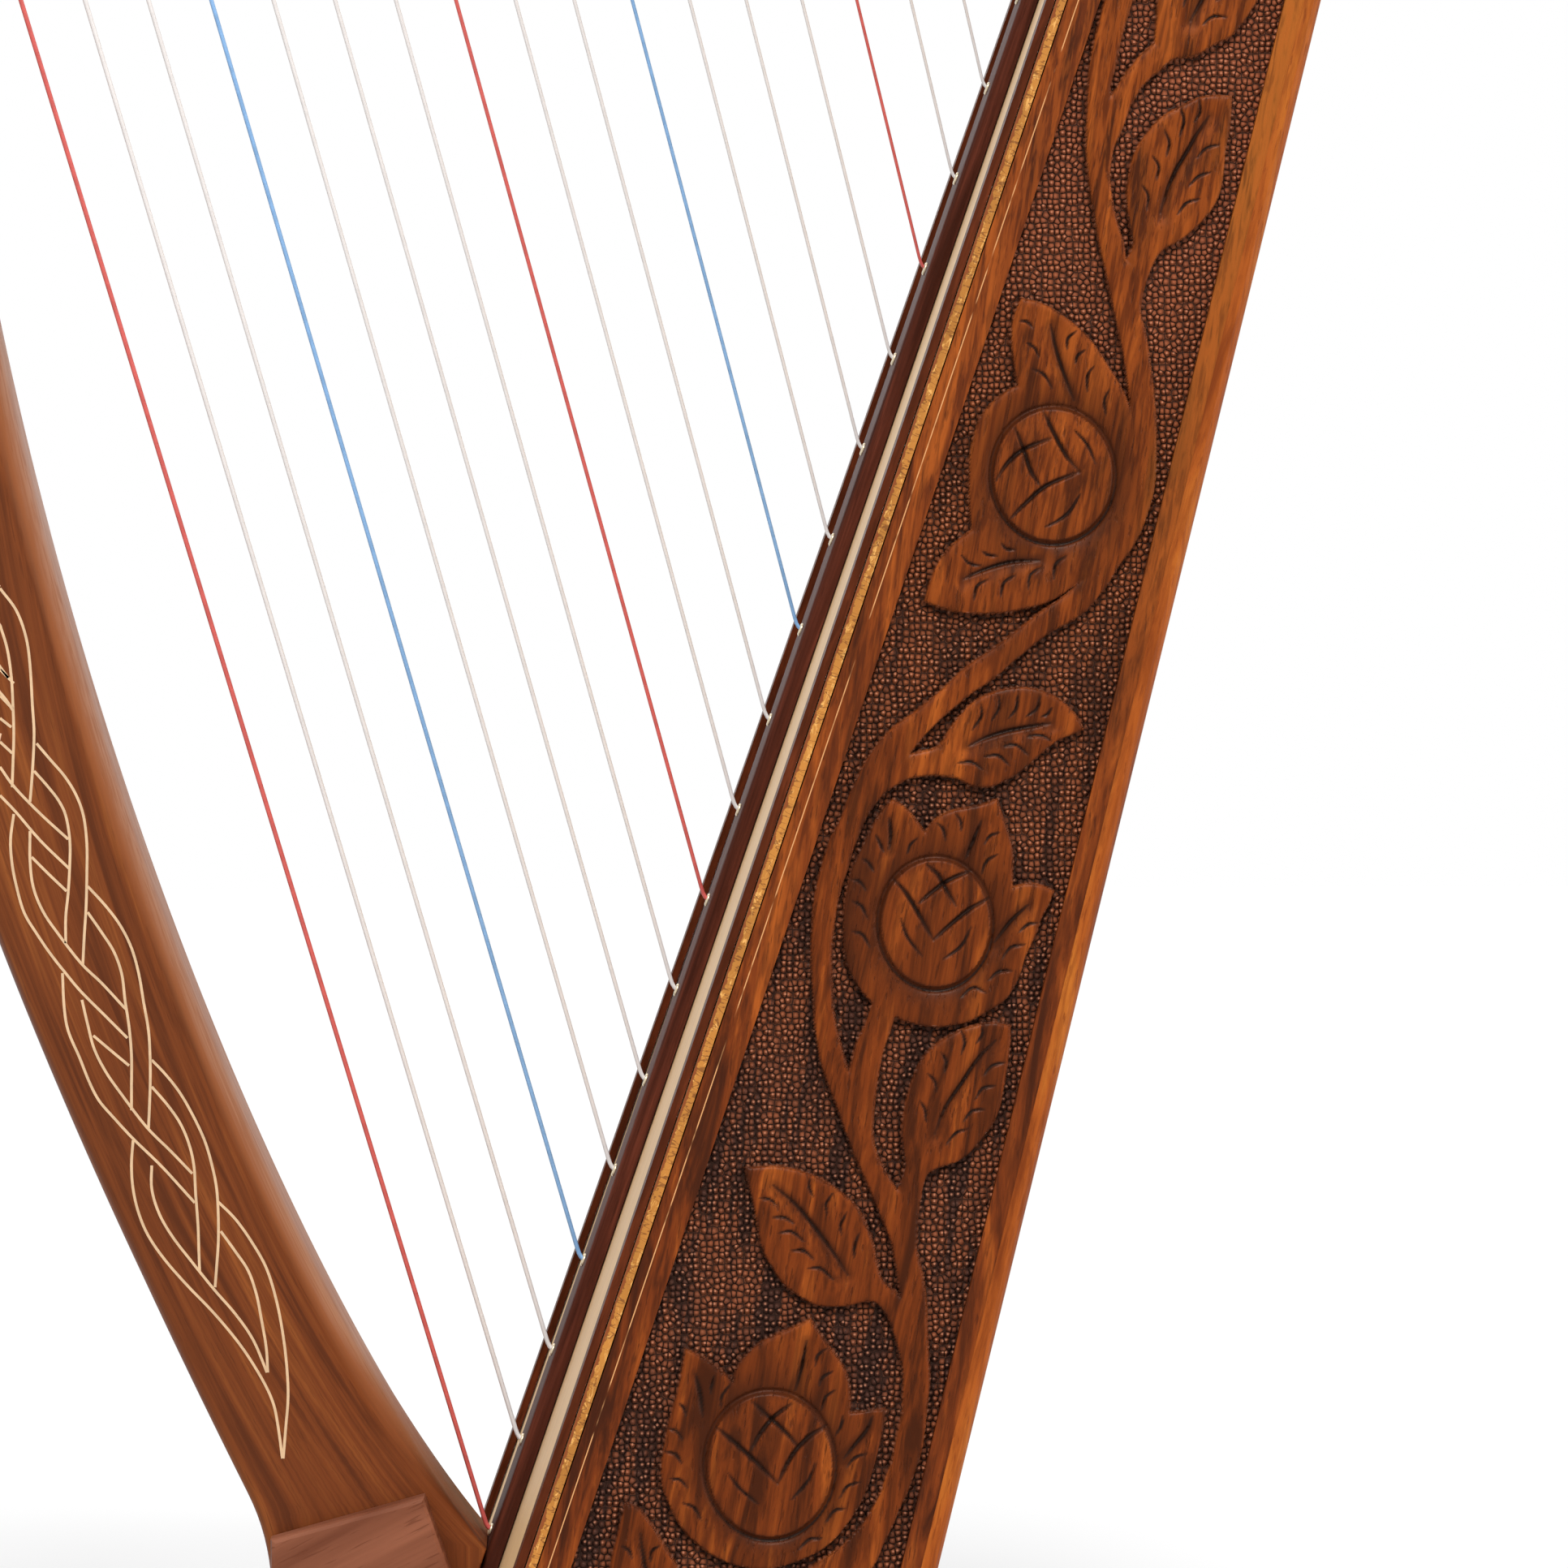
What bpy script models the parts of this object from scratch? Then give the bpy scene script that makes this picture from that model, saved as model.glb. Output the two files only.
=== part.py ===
"""A small carved frame harp with 22 strings, built piece by piece.

Lengths are metres and +Z is up. The harp stands on its base in the XZ plane: the pillar is
at -X, the sound box at +X, and the strings are tied on the -Y side of the neck.
While it is modelled, the origin is where string 1 enters the string rib. At the end the whole
harp is moved so that the origin is at the bottom centre of its box.
"""

import bpy
import bmesh
from math import radians, sin, cos, pi, sqrt, exp, log
from mathutils import Vector

# Clearance kept between pieces that touch, how far a cutter stands out of the wood that it
# cuts, and the angle from which an edge is drawn sharp
GAP = 0.0003
CUT_OVER = 0.002
SHARP_ANGLE = radians(32)

# Strings, counted from 1 in the bass; every seventh one is a C
STRING_COUNT = 22
OCTAVE = 7
STRING_PITCH = 0.02346
C_STRING_LENGTHS = (0.575, 0.385, 0.222, 0.116)
BASS_LEAN = radians(16.75)
LEAN_STEP = radians(0.165)
BASS_GAUGE = 0.0012
TREBLE_GAUGE = 0.0006
STRING_SIDES = 6
STRING_HOLE_RADIUS = 0.0014
STRING_HOLE_SIDES = 8
STRING_BEND = 0.0010
KNOT_RADIUS = 0.0022
KNOT_LENGTH = 0.0040
STRING_TAIL = 0.0016

# The soundboard leans away from the strings, and carries a rib on each face
BOARD_LEAN = radians(19.03)
LAST_STRING_TO_TOP = 0.0373
BOARD_TOP = STRING_PITCH * (STRING_COUNT - 1) + LAST_STRING_TO_TOP
BOARD_THICKNESS = 0.0022
RIB_WIDTH = 0.030
RIB_THICKNESS = 0.0039
RIB_ROUNDING = 0.0024
INNER_RIB_WIDTH = 0.016
INNER_RIB_THICKNESS = 0.005
TRIM_WIDTH = 0.009
TRIM_THICKNESS = 0.0019

# Sound box, with its sizes at string 1 and how much they shrink for each metre upwards
BOX_HALF_WIDTH = 0.140
WIDTH_TAPER = 0.108
BOX_DEPTH = 0.0950
DEPTH_TAPER = 0.0815
SIDE_THICKNESS = 0.009
BACK_THICKNESS = 0.004
BACK_ROUNDING = 0.003
FIELD_DEPTH = 0.0025
FIELD_FRONT_BORDER = 0.0070
FIELD_BACK_BORDER = 0.0083
FIELD_END_BORDER = 0.014

# Sound holes in the back: place along the board, half width and half length
SOUND_HOLES = ((0.080, 0.0375, 0.052), (0.236, 0.0310, 0.045), (0.385, 0.0250, 0.038))
SOUND_HOLE_SIDES = 40
BRACE_WIDTH = 0.012
BRACE_HEIGHT = 0.009

# Base and top of the box
STRING_1_HEIGHT = 0.095
BASE_THICKNESS = 0.022
BASE_MARGIN = 0.005
BASE_CORNER = 0.012
BASE_EDGE = 0.003
BASE_PLUG_HEIGHT = 0.014
NOSE_HALF_WIDTH = 0.029
CAP_THICKNESS = 0.006
CAP_MARGIN = 0.0015
TOP_BLOCK_LENGTH = 0.018

# Pillar: its inner and outer edges are cubic curves, given by their ends and handles
PILLAR_TOP = 0.460
PILLAR_WIDTH = 0.040
PILLAR_THICKNESS = 0.036
PILLAR_THINS_FROM = 0.5
PILLAR_THINS_OVER = 0.4
INNER_EDGE_ROUNDING = 0.0105
OUTER_EDGE_ROUNDING = 0.006
PILLAR_RINGS = 26
INNER_TOP_X = -0.1375
INNER_TOP_HANDLE = 0.1864
INNER_FOOT_Z = -0.002
INNER_FOOT_HANDLE = 0.093
INNER_FOOT_LEAN = radians(38.1)
OUTER_TOP_HANDLE = 0.180
OUTER_FOOT_HANDLE = 0.150
FOOT_LEAN = radians(26.6)

# The pillar's foot stands upright and its corners are nearly sharp
FOOT_FRONT = -0.053
FOOT_KNEE_Z = -0.016
FOOT_SHOULDER_STEP = 0.006
FOOT_SHOULDER_Z = 0.012
FOOT_BEND = 0.010
FOOT_RINGS = 4
FOOT_FRONT_ROUNDING = 0.003
FOOT_REAR_ROUNDING = 0.0008
ROUNDING_RINGS = 3

# Plates beside the foot
CHEEK_THICKNESS = 0.006
CHEEK_LEAN = radians(19.0)
CHEEK_WIDTH = 0.0385
CHEEK_CORNER_X = -0.0158
CHEEK_CORNER_Z = 0.0121
CHEEK_EDGE = 0.0012

# Neck, measured from the row of bridge pins. Its underside follows them from the throat on
NECK_THICKNESS = 0.030
NECK_BELOW_PINS = 0.018
NECK_ABOVE_PINS = 0.045
NECK_TREBLE_RISE = 0.008
NECK_TREBLE_FROM = 0.6
NECK_EDGE = 0.0045
THROAT_STRING = 5.5
THROAT_HANDLES = (0.042, 0.024)
HEAD_REACH = 0.030
HEAD_RISE = 0.008
HEAD_ROUNDING = 0.012
HEEL_FRONT = 0.003
HEEL_BACK = 0.048
HEEL_FRONT_HANDLES = (0.020, 0.036)
HEEL_BACK_HANDLES = (0.080, 0.040)

# Extra length that is cut off again where a rounded piece ends flat
CUT_SPARE = 0.012

# Bridge pins and tuning pins
BRIDGE_PIN_RADIUS = 0.0016
BRIDGE_GROOVE_RADIUS = 0.0011
BRIDGE_GROOVE_WIDTH = 0.0024
BRIDGE_PIN_LENGTH = 0.0095
BRIDGE_PIN_SIDES = 6
STRING_STANDOFF = 0.0070
TUNING_PIN_RADIUS = 0.00305
TUNING_PIN_CLEARANCE = 0.0004
TUNING_PIN_SIDES = 12
TUNING_HOLE_SIDES = 14
TUNING_PIN_DISTANCE = 0.027
TUNING_PIN_TURN = radians(12)
TUNING_PIN_STRING_END = 0.0150
TUNING_PIN_SHANK = 0.008
TUNING_PIN_HEAD = 0.016
TUNING_PIN_SQUARE = 0.0021
TUNING_PIN_TIP = 0.0008
TUNING_PIN_SHOULDER = 0.0015
TUNING_PIN_TIP_SHARE = 0.75
TUNING_PIN_TAPER = 0.88

# Colour, roughness and metallic value of each finish
FINISHES = {
    "walnut": ((0.180, 0.062, 0.022), 0.40, 0.0),
    "spruce": ((0.640, 0.430, 0.260), 0.50, 0.0),
    "rosewood": ((0.055, 0.022, 0.014), 0.38, 0.0),
    "inner_wood": ((0.420, 0.270, 0.150), 0.65, 0.0),
    "nickel": ((0.620, 0.610, 0.590), 0.28, 1.0),
    "nylon_clear": ((0.780, 0.770, 0.740), 0.30, 0.0),
    "nylon_red": ((0.600, 0.070, 0.060), 0.30, 0.0),
    "nylon_blue": ((0.080, 0.170, 0.480), 0.30, 0.0),
}

X_AXIS = Vector((1, 0, 0))
Z_AXIS = Vector((0, 0, 1))

# The soundboard's own directions: up along it, across it, and inwards through it
UP = Vector((sin(BOARD_LEAN), 0, cos(BOARD_LEAN)))
ACROSS = Vector((0, 1, 0))
INWARD = Vector((cos(BOARD_LEAN), 0, -sin(BOARD_LEAN)))
BACK_NORMAL = (INWARD + DEPTH_TAPER * UP).normalized()

# Levels counted inwards from the crown of the string rib
BOARD_FACE = RIB_THICKNESS + GAP
BOARD_INNER = BOARD_FACE + BOARD_THICKNESS
SIDE_FRONT = BOARD_INNER + GAP
INNER_RIB_END = SIDE_FRONT + INNER_RIB_THICKNESS

FLOOR = -STRING_1_HEIGHT
BASE_TOP = FLOOR + BASE_THICKNESS
PANEL_BOTTOM = BASE_TOP + GAP
PANEL_TOP = BOARD_TOP - CAP_THICKNESS - GAP


def board(t, y, depth):
    """A point t up the soundboard, y across it and depth inwards from the rib's crown."""
    return t * UP + y * ACROSS + depth * INWARD


def half_width(t):
    return BOX_HALF_WIDTH - WIDTH_TAPER * t


def back_depth(t):
    return BOX_DEPTH - DEPTH_TAPER * t


def back_inner_depth(t, inset):
    """Depth of the plane that lies inset inside the back's outer face."""
    return back_depth(t) - inset * sqrt(1 + DEPTH_TAPER ** 2)


def back(t, y, inset):
    """A point on the back's outer face, moved inset into the box."""
    return board(t, y, back_depth(t)) - inset * BACK_NORMAL


def board_at_height(z, depth):
    """How far up the soundboard the plane at this depth reaches height z."""
    return (z + depth * sin(BOARD_LEAN)) / cos(BOARD_LEAN)


def back_at_height(z, inset):
    """How far up the soundboard the plane inset from the back reaches height z."""
    depth = BOX_DEPTH - inset * sqrt(1 + DEPTH_TAPER ** 2)
    return (z + depth * sin(BOARD_LEAN)) / (cos(BOARD_LEAN) + DEPTH_TAPER * sin(BOARD_LEAN))


def lean_direction(angle):
    """Upwards in the plane of the harp, leaning towards the pillar."""
    return Vector((-sin(angle), 0, cos(angle)))


def right_of(direction):
    return Vector((direction.z, 0, -direction.x))


def string_lean(i):
    return BASS_LEAN - LEAN_STEP * (i - 1)


def string_radius(i):
    share = (i - 1) / (STRING_COUNT - 1)
    return (BASS_GAUGE + (TREBLE_GAUGE - BASS_GAUGE) * share) / 2


def speaking_length(i):
    """A smooth curve through the lengths of the C strings, one octave apart."""
    place = (i - 1) / OCTAVE
    total = 0
    for j, length in enumerate(C_STRING_LENGTHS):
        weight = 1
        for k in range(len(C_STRING_LENGTHS)):
            if k != j:
                weight *= (place - k) / (j - k)
        total += weight * log(length)
    return exp(total)


def entry(i):
    """Where string i leaves the crown of the string rib."""
    return board(STRING_PITCH * (i - 1), 0, 0)


def string_side():
    """The side plane in which the strings reach the neck."""
    return -(NECK_THICKNESS / 2 + STRING_STANDOFF)


def bridge_contact(i):
    """The string's centre where it passes its bridge pin, in the plane of the harp."""
    return entry(i) + speaking_length(i) * lean_direction(string_lean(i))


def bridge_pin(i):
    reach = BRIDGE_GROOVE_RADIUS + string_radius(i) + GAP
    return bridge_contact(i) - reach * right_of(lean_direction(string_lean(i)))


def winding_contact(i):
    """The string's centre where it meets its tuning pin."""
    return bridge_contact(i) + TUNING_PIN_DISTANCE * lean_direction(string_lean(i) + TUNING_PIN_TURN)


def tuning_pin(i):
    reach = TUNING_PIN_RADIUS + string_radius(i) + GAP
    return winding_contact(i) - reach * right_of(lean_direction(string_lean(i) + TUNING_PIN_TURN))


def bezier(a, b, c, d, count):
    """Points along a cubic curve, its two ends included."""
    points = []
    for k in range(count):
        s = k / (count - 1)
        points.append((1 - s) ** 3 * a + 3 * (1 - s) ** 2 * s * b
                      + 3 * (1 - s) * s * s * c + s ** 3 * d)
    return points


def in_plane(x, z):
    return Vector((x, 0, z))


# Mesh building
def loft(rings):
    """A closed solid through rings of equally many points, with flat ends."""
    bm = bmesh.new()
    loops = [[bm.verts.new(p) for p in ring] for ring in rings]
    for low, high in zip(loops, loops[1:]):
        for k in range(len(low)):
            n = (k + 1) % len(low)
            bm.faces.new((low[k], low[n], high[n], high[k]))
    bm.faces.new(loops[0])
    bm.faces.new(loops[-1])
    bmesh.ops.recalc_face_normals(bm, faces=bm.faces)
    return bm


def circle(centre, first, second, radius, sides):
    """Points on a circle spanned by two unit vectors."""
    turn = 2 * pi / sides
    return [centre + radius * (cos(turn * k) * first + sin(turn * k) * second)
            for k in range(sides)]


def tube(points, radii, sides):
    """A tube along points that turn little from one to the next."""
    rings = []
    first = None
    for k, point in enumerate(points):
        ahead = points[min(k + 1, len(points) - 1)] - points[max(k - 1, 0)]
        direction = ahead.normalized()
        if first is None:
            first = direction.orthogonal().normalized()
        first = (first - first.dot(direction) * direction).normalized()
        rings.append(circle(point, first, direction.cross(first), radii[k], sides))
    return loft(rings)


def fillet(points, radii, segments):
    """A flat outline with each corner replaced by an arc of its own radius."""
    outline = []
    for k, corner in enumerate(points):
        before = (points[k - 1] - corner).normalized()
        after = (points[(k + 1) % len(points)] - corner).normalized()
        half_angle = before.angle(after) / 2
        if radii[k] == 0:
            outline.append(corner)
            continue
        reach = radii[k] / sin(half_angle) * cos(half_angle)
        start = corner + reach * before
        end = corner + reach * after
        centre = corner + radii[k] / sin(half_angle) * (before + after).normalized()
        span = (start - centre).angle(end - centre)
        for s in range(segments + 1):
            share = s / segments
            arm = (sin((1 - share) * span) * (start - centre) + sin(share * span) * (end - centre))
            outline.append(centre + arm / sin(span))
    return outline


def extruded(outline, offset):
    return loft([outline, [p + offset for p in outline]])


def bevel_edges(bm, chosen, width, segments):
    bmesh.ops.bevel(bm, geom=chosen, offset=width, offset_type="OFFSET", segments=segments,
                    profile=0.5, affect="EDGES", material=-1, clamp_overlap=True)


def cut_flat(bm, point, normal):
    """Takes away what lies on the normal's side of a plane and closes the cut."""
    found = bmesh.ops.bisect_plane(bm, geom=bm.verts[:] + bm.edges[:] + bm.faces[:], dist=1e-7,
                                   plane_co=point, plane_no=normal, clear_outer=True)
    edges = [e for e in found["geom_cut"] if isinstance(e, bmesh.types.BMEdge)]
    bmesh.ops.edgeloop_fill(bm, edges=edges)
    bmesh.ops.recalc_face_normals(bm, faces=bm.faces)


def finish_material(name):
    colour, roughness, metallic = FINISHES[name]
    material = bpy.data.materials.get(name) or bpy.data.materials.new(name)
    material.use_nodes = True
    shader = material.node_tree.nodes["Principled BSDF"]
    shader.inputs["Base Color"].default_value = (*colour, 1)
    shader.inputs["Roughness"].default_value = roughness
    shader.inputs["Metallic"].default_value = metallic
    return material


def add_object(name, bm, finish, parent=None):
    mesh = bpy.data.meshes.new(name)
    bm.to_mesh(mesh)
    bm.free()
    obj = bpy.data.objects.new(name, mesh)
    bpy.context.scene.collection.objects.link(obj)
    obj.parent = parent
    if finish:
        mesh.materials.append(finish_material(finish))
    mesh.shade_smooth()
    mesh.set_sharp_from_angle(angle=SHARP_ANGLE)
    return obj


def combine(obj, tools, operation):
    """Joins or cuts the object with each tool, and takes the tools away again."""
    for bm in tools:
        tool = add_object("tool", bm, None)
        modifier = obj.modifiers.new("cut", "BOOLEAN")
        modifier.operation = operation
        modifier.solver = "EXACT"
        modifier.object = tool
        result = bpy.data.meshes.new_from_object(
            obj.evaluated_get(bpy.context.evaluated_depsgraph_get()))
        obj.modifiers.remove(modifier)
        result.name = obj.name
        obj.data = result
        bpy.data.objects.remove(tool)
    obj.data.shade_smooth()
    obj.data.set_sharp_from_angle(angle=SHARP_ANGLE)


def joined(parts):
    """One mesh of several closed shapes that don't touch."""
    whole = bmesh.new()
    for bm in parts:
        mesh = bpy.data.meshes.new("part")
        bm.to_mesh(mesh)
        bm.free()
        whole.from_mesh(mesh)
        bpy.data.meshes.remove(mesh)
    return whole


# Sound box
def panel_ring(t, y_low, y_high, front, rear):
    """A rectangle across the box at t, between two sides and two depths."""
    return [board(t, y_low, front), board(t, y_high, front),
            board(t, y_high, rear), board(t, y_low, rear)]


def lowest_t():
    """A place below every panel's cut bottom edge."""
    return board_at_height(FLOOR, 0)


def string_holes(front, rear):
    """Cutters for the string holes through wood that lies between two depths."""
    holes = []
    for i in range(1, STRING_COUNT + 1):
        t = STRING_PITCH * (i - 1)
        rings = [circle(board(t, 0, depth), UP, ACROSS, STRING_HOLE_RADIUS, STRING_HOLE_SIDES)
                 for depth in (front - CUT_OVER, rear + CUT_OVER)]
        holes.append(loft(rings))
    return joined(holes)


def make_soundboard(harp):
    rings = [panel_ring(t, -half_width(t), half_width(t), BOARD_FACE, BOARD_INNER)
             for t in (lowest_t(), PANEL_TOP)]
    bm = loft(rings)
    cut_flat(bm, Vector((0, 0, PANEL_BOTTOM)), Vector((0, 0, -1)))
    obj = add_object("soundboard", bm, "spruce", harp)
    combine(obj, [string_holes(BOARD_FACE, BOARD_INNER)], "DIFFERENCE")


def make_string_rib(harp):
    """The hardwood strip on the soundboard that the strings come out of."""
    half = RIB_WIDTH / 2
    corners = [board(0, -half, RIB_THICKNESS), board(0, -half, 0),
               board(0, half, 0), board(0, half, RIB_THICKNESS)]
    profile = fillet(corners, [0, RIB_ROUNDING, RIB_ROUNDING, 0], 4)
    bm = loft([[p + t * UP for p in profile] for t in (lowest_t(), PANEL_TOP)])
    cut_flat(bm, Vector((0, 0, PANEL_BOTTOM)), Vector((0, 0, -1)))
    obj = add_object("string_rib", bm, "rosewood", harp)
    combine(obj, [string_holes(0, RIB_THICKNESS)], "DIFFERENCE")


def make_inner_rib(harp):
    """The strip under the soundboard that the knots pull against."""
    half = INNER_RIB_WIDTH / 2
    top = PANEL_TOP - TOP_BLOCK_LENGTH - GAP
    bottom = board_at_height(BASE_TOP + BASE_PLUG_HEIGHT + GAP, INNER_RIB_END)
    bm = loft([panel_ring(t, -half, half, SIDE_FRONT, INNER_RIB_END) for t in (bottom, top)])
    obj = add_object("inner_rib", bm, "inner_wood", harp)
    combine(obj, [string_holes(SIDE_FRONT, INNER_RIB_END)], "DIFFERENCE")


def make_edge_trim(harp, name, side):
    rear = BOARD_FACE - GAP
    front = rear - TRIM_THICKNESS
    rings = []
    for t in (lowest_t(), PANEL_TOP):
        outer = side * half_width(t)
        inner = side * (half_width(t) - TRIM_WIDTH)
        rings.append(panel_ring(t, min(outer, inner), max(outer, inner), front, rear))
    bm = loft(rings)
    cut_flat(bm, Vector((0, 0, PANEL_BOTTOM)), Vector((0, 0, -1)))
    add_object(name, bm, "rosewood", harp)


def make_side(harp, name, side):
    """A side panel with the sunk field that holds the carving."""
    inset = BACK_THICKNESS + GAP
    rings = []
    for t in (lowest_t(), PANEL_TOP):
        outer = side * half_width(t)
        inner = side * (half_width(t) - SIDE_THICKNESS)
        rings.append(panel_ring(t, min(outer, inner), max(outer, inner),
                                SIDE_FRONT, back_inner_depth(t, inset)))
    bm = loft(rings)
    cut_flat(bm, Vector((0, 0, PANEL_BOTTOM)), Vector((0, 0, -1)))
    obj = add_object(name, bm, "walnut", harp)
    front = SIDE_FRONT + FIELD_FRONT_BORDER
    low = PANEL_BOTTOM + FIELD_END_BORDER
    high = PANEL_TOP - FIELD_END_BORDER
    low_front = board_at_height(low, front)
    low_back = back_at_height(low, FIELD_BACK_BORDER)
    corners = [(low_front, front), (high, front),
               (high, back_inner_depth(high, FIELD_BACK_BORDER)),
               (low_back, back_inner_depth(low_back, FIELD_BACK_BORDER))]
    field = []
    for proud in (FIELD_DEPTH, -FIELD_DEPTH):
        field.append([board(t, side * (half_width(t) + proud), depth) for t, depth in corners])
    combine(obj, [loft(field)], "DIFFERENCE")


def make_back(harp):
    """The back, with rounded long edges and oval holes for tying the strings."""
    low = back_at_height(FLOOR, 0)
    rings = []
    for t in (low, PANEL_TOP):
        w = half_width(t)
        rings.append([back(t, -w, BACK_THICKNESS), back(t, -w, 0), back(t, w, 0),
                      back(t, w, BACK_THICKNESS)])
    bm = loft(rings)
    outer = back(0, 0, 0)
    long_edges = [e for e in bm.edges
                  if e.calc_length() > BOARD_TOP / 2
                  and all(abs((v.co - outer).dot(BACK_NORMAL)) < 1e-5 for v in e.verts)]
    bevel_edges(bm, long_edges, BACK_ROUNDING, 4)
    cut_flat(bm, Vector((0, 0, PANEL_BOTTOM)), Vector((0, 0, -1)))
    cut_flat(bm, board(PANEL_TOP, 0, 0), UP)
    obj = add_object("back_panel", bm, "walnut", harp)
    along = BACK_NORMAL.cross(ACROSS).normalized()
    cutters = []
    for place, half_across, half_along in SOUND_HOLES:
        turn = 2 * pi / SOUND_HOLE_SIDES
        ring = [half_across * cos(turn * k) * ACROSS + half_along * sin(turn * k) * along
                for k in range(SOUND_HOLE_SIDES)]
        rings = [[back(place, 0, inset) + p for p in ring]
                 for inset in (-CUT_OVER, BACK_THICKNESS + CUT_OVER)]
        cutters.append(loft(rings))
    combine(obj, [joined(cutters)], "DIFFERENCE")


def make_back_brace(harp, name, place):
    """A batten across the inside of the back."""
    inset = BACK_THICKNESS + GAP
    rings = []
    for depth in (inset, inset + BRACE_HEIGHT):
        ring = []
        for t_step, y_sign in ((-1, -1), (1, -1), (1, 1), (-1, 1)):
            t = place + t_step * BRACE_WIDTH / 2
            w = half_width(t) - SIDE_THICKNESS - 2 * GAP
            ring.append(back(t, y_sign * w, depth))
        rings.append(ring)
    add_object(name, loft(rings), "inner_wood", harp)


def plug_ring(z):
    """The inside of the box at height z, less a clearance."""
    t_front = board_at_height(z, SIDE_FRONT)
    inset = BACK_THICKNESS + 2 * GAP
    t_back = back_at_height(z, inset)
    w_front = half_width(t_front) - SIDE_THICKNESS - 2 * GAP
    w_back = half_width(t_back) - SIDE_THICKNESS - 2 * GAP
    rear = back_inner_depth(t_back, inset)
    return [board(t_front, -w_front, SIDE_FRONT), board(t_front, w_front, SIDE_FRONT),
            board(t_back, w_back, rear), board(t_back, -w_back, rear)]


def make_base(harp):
    """The slab that the harp stands on, with a plug inside the box and a nose for the foot."""
    front = board(board_at_height(BASE_TOP, 0), 0, 0).x - BASE_MARGIN
    rear = back(back_at_height(BASE_TOP, 0), 0, 0).x + BASE_MARGIN
    wide = half_width(board_at_height(BASE_TOP, BOARD_FACE)) + BASE_MARGIN
    nose = FOOT_FRONT - BASE_MARGIN
    corners = [(nose, -NOSE_HALF_WIDTH), (front, -NOSE_HALF_WIDTH), (front, -wide),
               (rear, -wide), (rear, wide), (front, wide), (front, NOSE_HALF_WIDTH),
               (nose, NOSE_HALF_WIDTH)]
    points = [Vector((x, y, FLOOR)) for x, y in corners]
    inner = BASE_CORNER / 2
    radii = [BASE_CORNER, inner, BASE_CORNER, BASE_CORNER, BASE_CORNER, BASE_CORNER, inner,
             BASE_CORNER]
    bm = extruded(fillet(points, radii, 5), Vector((0, 0, BASE_THICKNESS)))
    rim = [e for e in bm.edges if all(abs(v.co.z - BASE_TOP) < 1e-6 for v in e.verts)]
    bevel_edges(bm, rim, BASE_EDGE, 2)
    obj = add_object("base", bm, "walnut", harp)
    plug = loft([plug_ring(z) for z in (BASE_TOP - CUT_OVER, BASE_TOP + BASE_PLUG_HEIGHT)])
    combine(obj, [plug], "UNION")


def make_top_block(harp):
    """The cap over the box's upper end, with a plug between the panels."""
    rings = []
    for t in (BOARD_TOP - CAP_THICKNESS, BOARD_TOP):
        w = half_width(BOARD_TOP) + CAP_MARGIN
        rings.append(panel_ring(t, -w, w, -CAP_MARGIN, back_depth(BOARD_TOP) + CAP_MARGIN))
    bm = loft(rings)
    bevel_edges(bm, bm.edges[:], CAP_MARGIN, 2)
    obj = add_object("top_block", bm, "walnut", harp)
    rings = []
    for t in (PANEL_TOP - TOP_BLOCK_LENGTH, BOARD_TOP - CAP_THICKNESS / 2):
        w = half_width(t) - SIDE_THICKNESS - 2 * GAP
        rear = back_inner_depth(t, BACK_THICKNESS + 2 * GAP)
        rings.append(panel_ring(t, -w, w, SIDE_FRONT, rear))
    combine(obj, [loft(rings)], "UNION")


# Pillar, cheeks and neck
def section(outer, inner, half, outer_radius, inner_radius):
    """A rounded rectangle from the outer edge to the inner edge, across the harp."""
    corners = [outer - half * ACROSS, inner - half * ACROSS,
               inner + half * ACROSS, outer + half * ACROSS]
    return fillet(corners, [outer_radius, inner_radius, inner_radius, outer_radius], 3)


def pillar_half_thickness(z):
    """Thick in the middle, and as thick as the neck at the top."""
    share = min(max((z / PILLAR_TOP - PILLAR_THINS_FROM) / PILLAR_THINS_OVER, 0), 1)
    ease = share * share * (3 - 2 * share)
    return (PILLAR_THICKNESS + (NECK_THICKNESS - PILLAR_THICKNESS) * ease) / 2


def foot_rear(z):
    """The foot's rear face lies against the crown of the string rib."""
    return board(board_at_height(z, -GAP), 0, -GAP)


def pillar_inner_edge():
    foot = foot_rear(INNER_FOOT_Z)
    top = in_plane(INNER_TOP_X, PILLAR_TOP)
    return bezier(foot, foot + INNER_FOOT_HANDLE * lean_direction(INNER_FOOT_LEAN),
                  top - in_plane(0, INNER_TOP_HANDLE), top, PILLAR_RINGS)


def pillar_outer_edge():
    shoulder = in_plane(FOOT_FRONT - FOOT_SHOULDER_STEP, FOOT_SHOULDER_Z)
    top = in_plane(INNER_TOP_X - PILLAR_WIDTH, PILLAR_TOP)
    return bezier(shoulder, shoulder + OUTER_FOOT_HANDLE * lean_direction(FOOT_LEAN),
                  top - in_plane(0, OUTER_TOP_HANDLE), top, PILLAR_RINGS)


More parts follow.
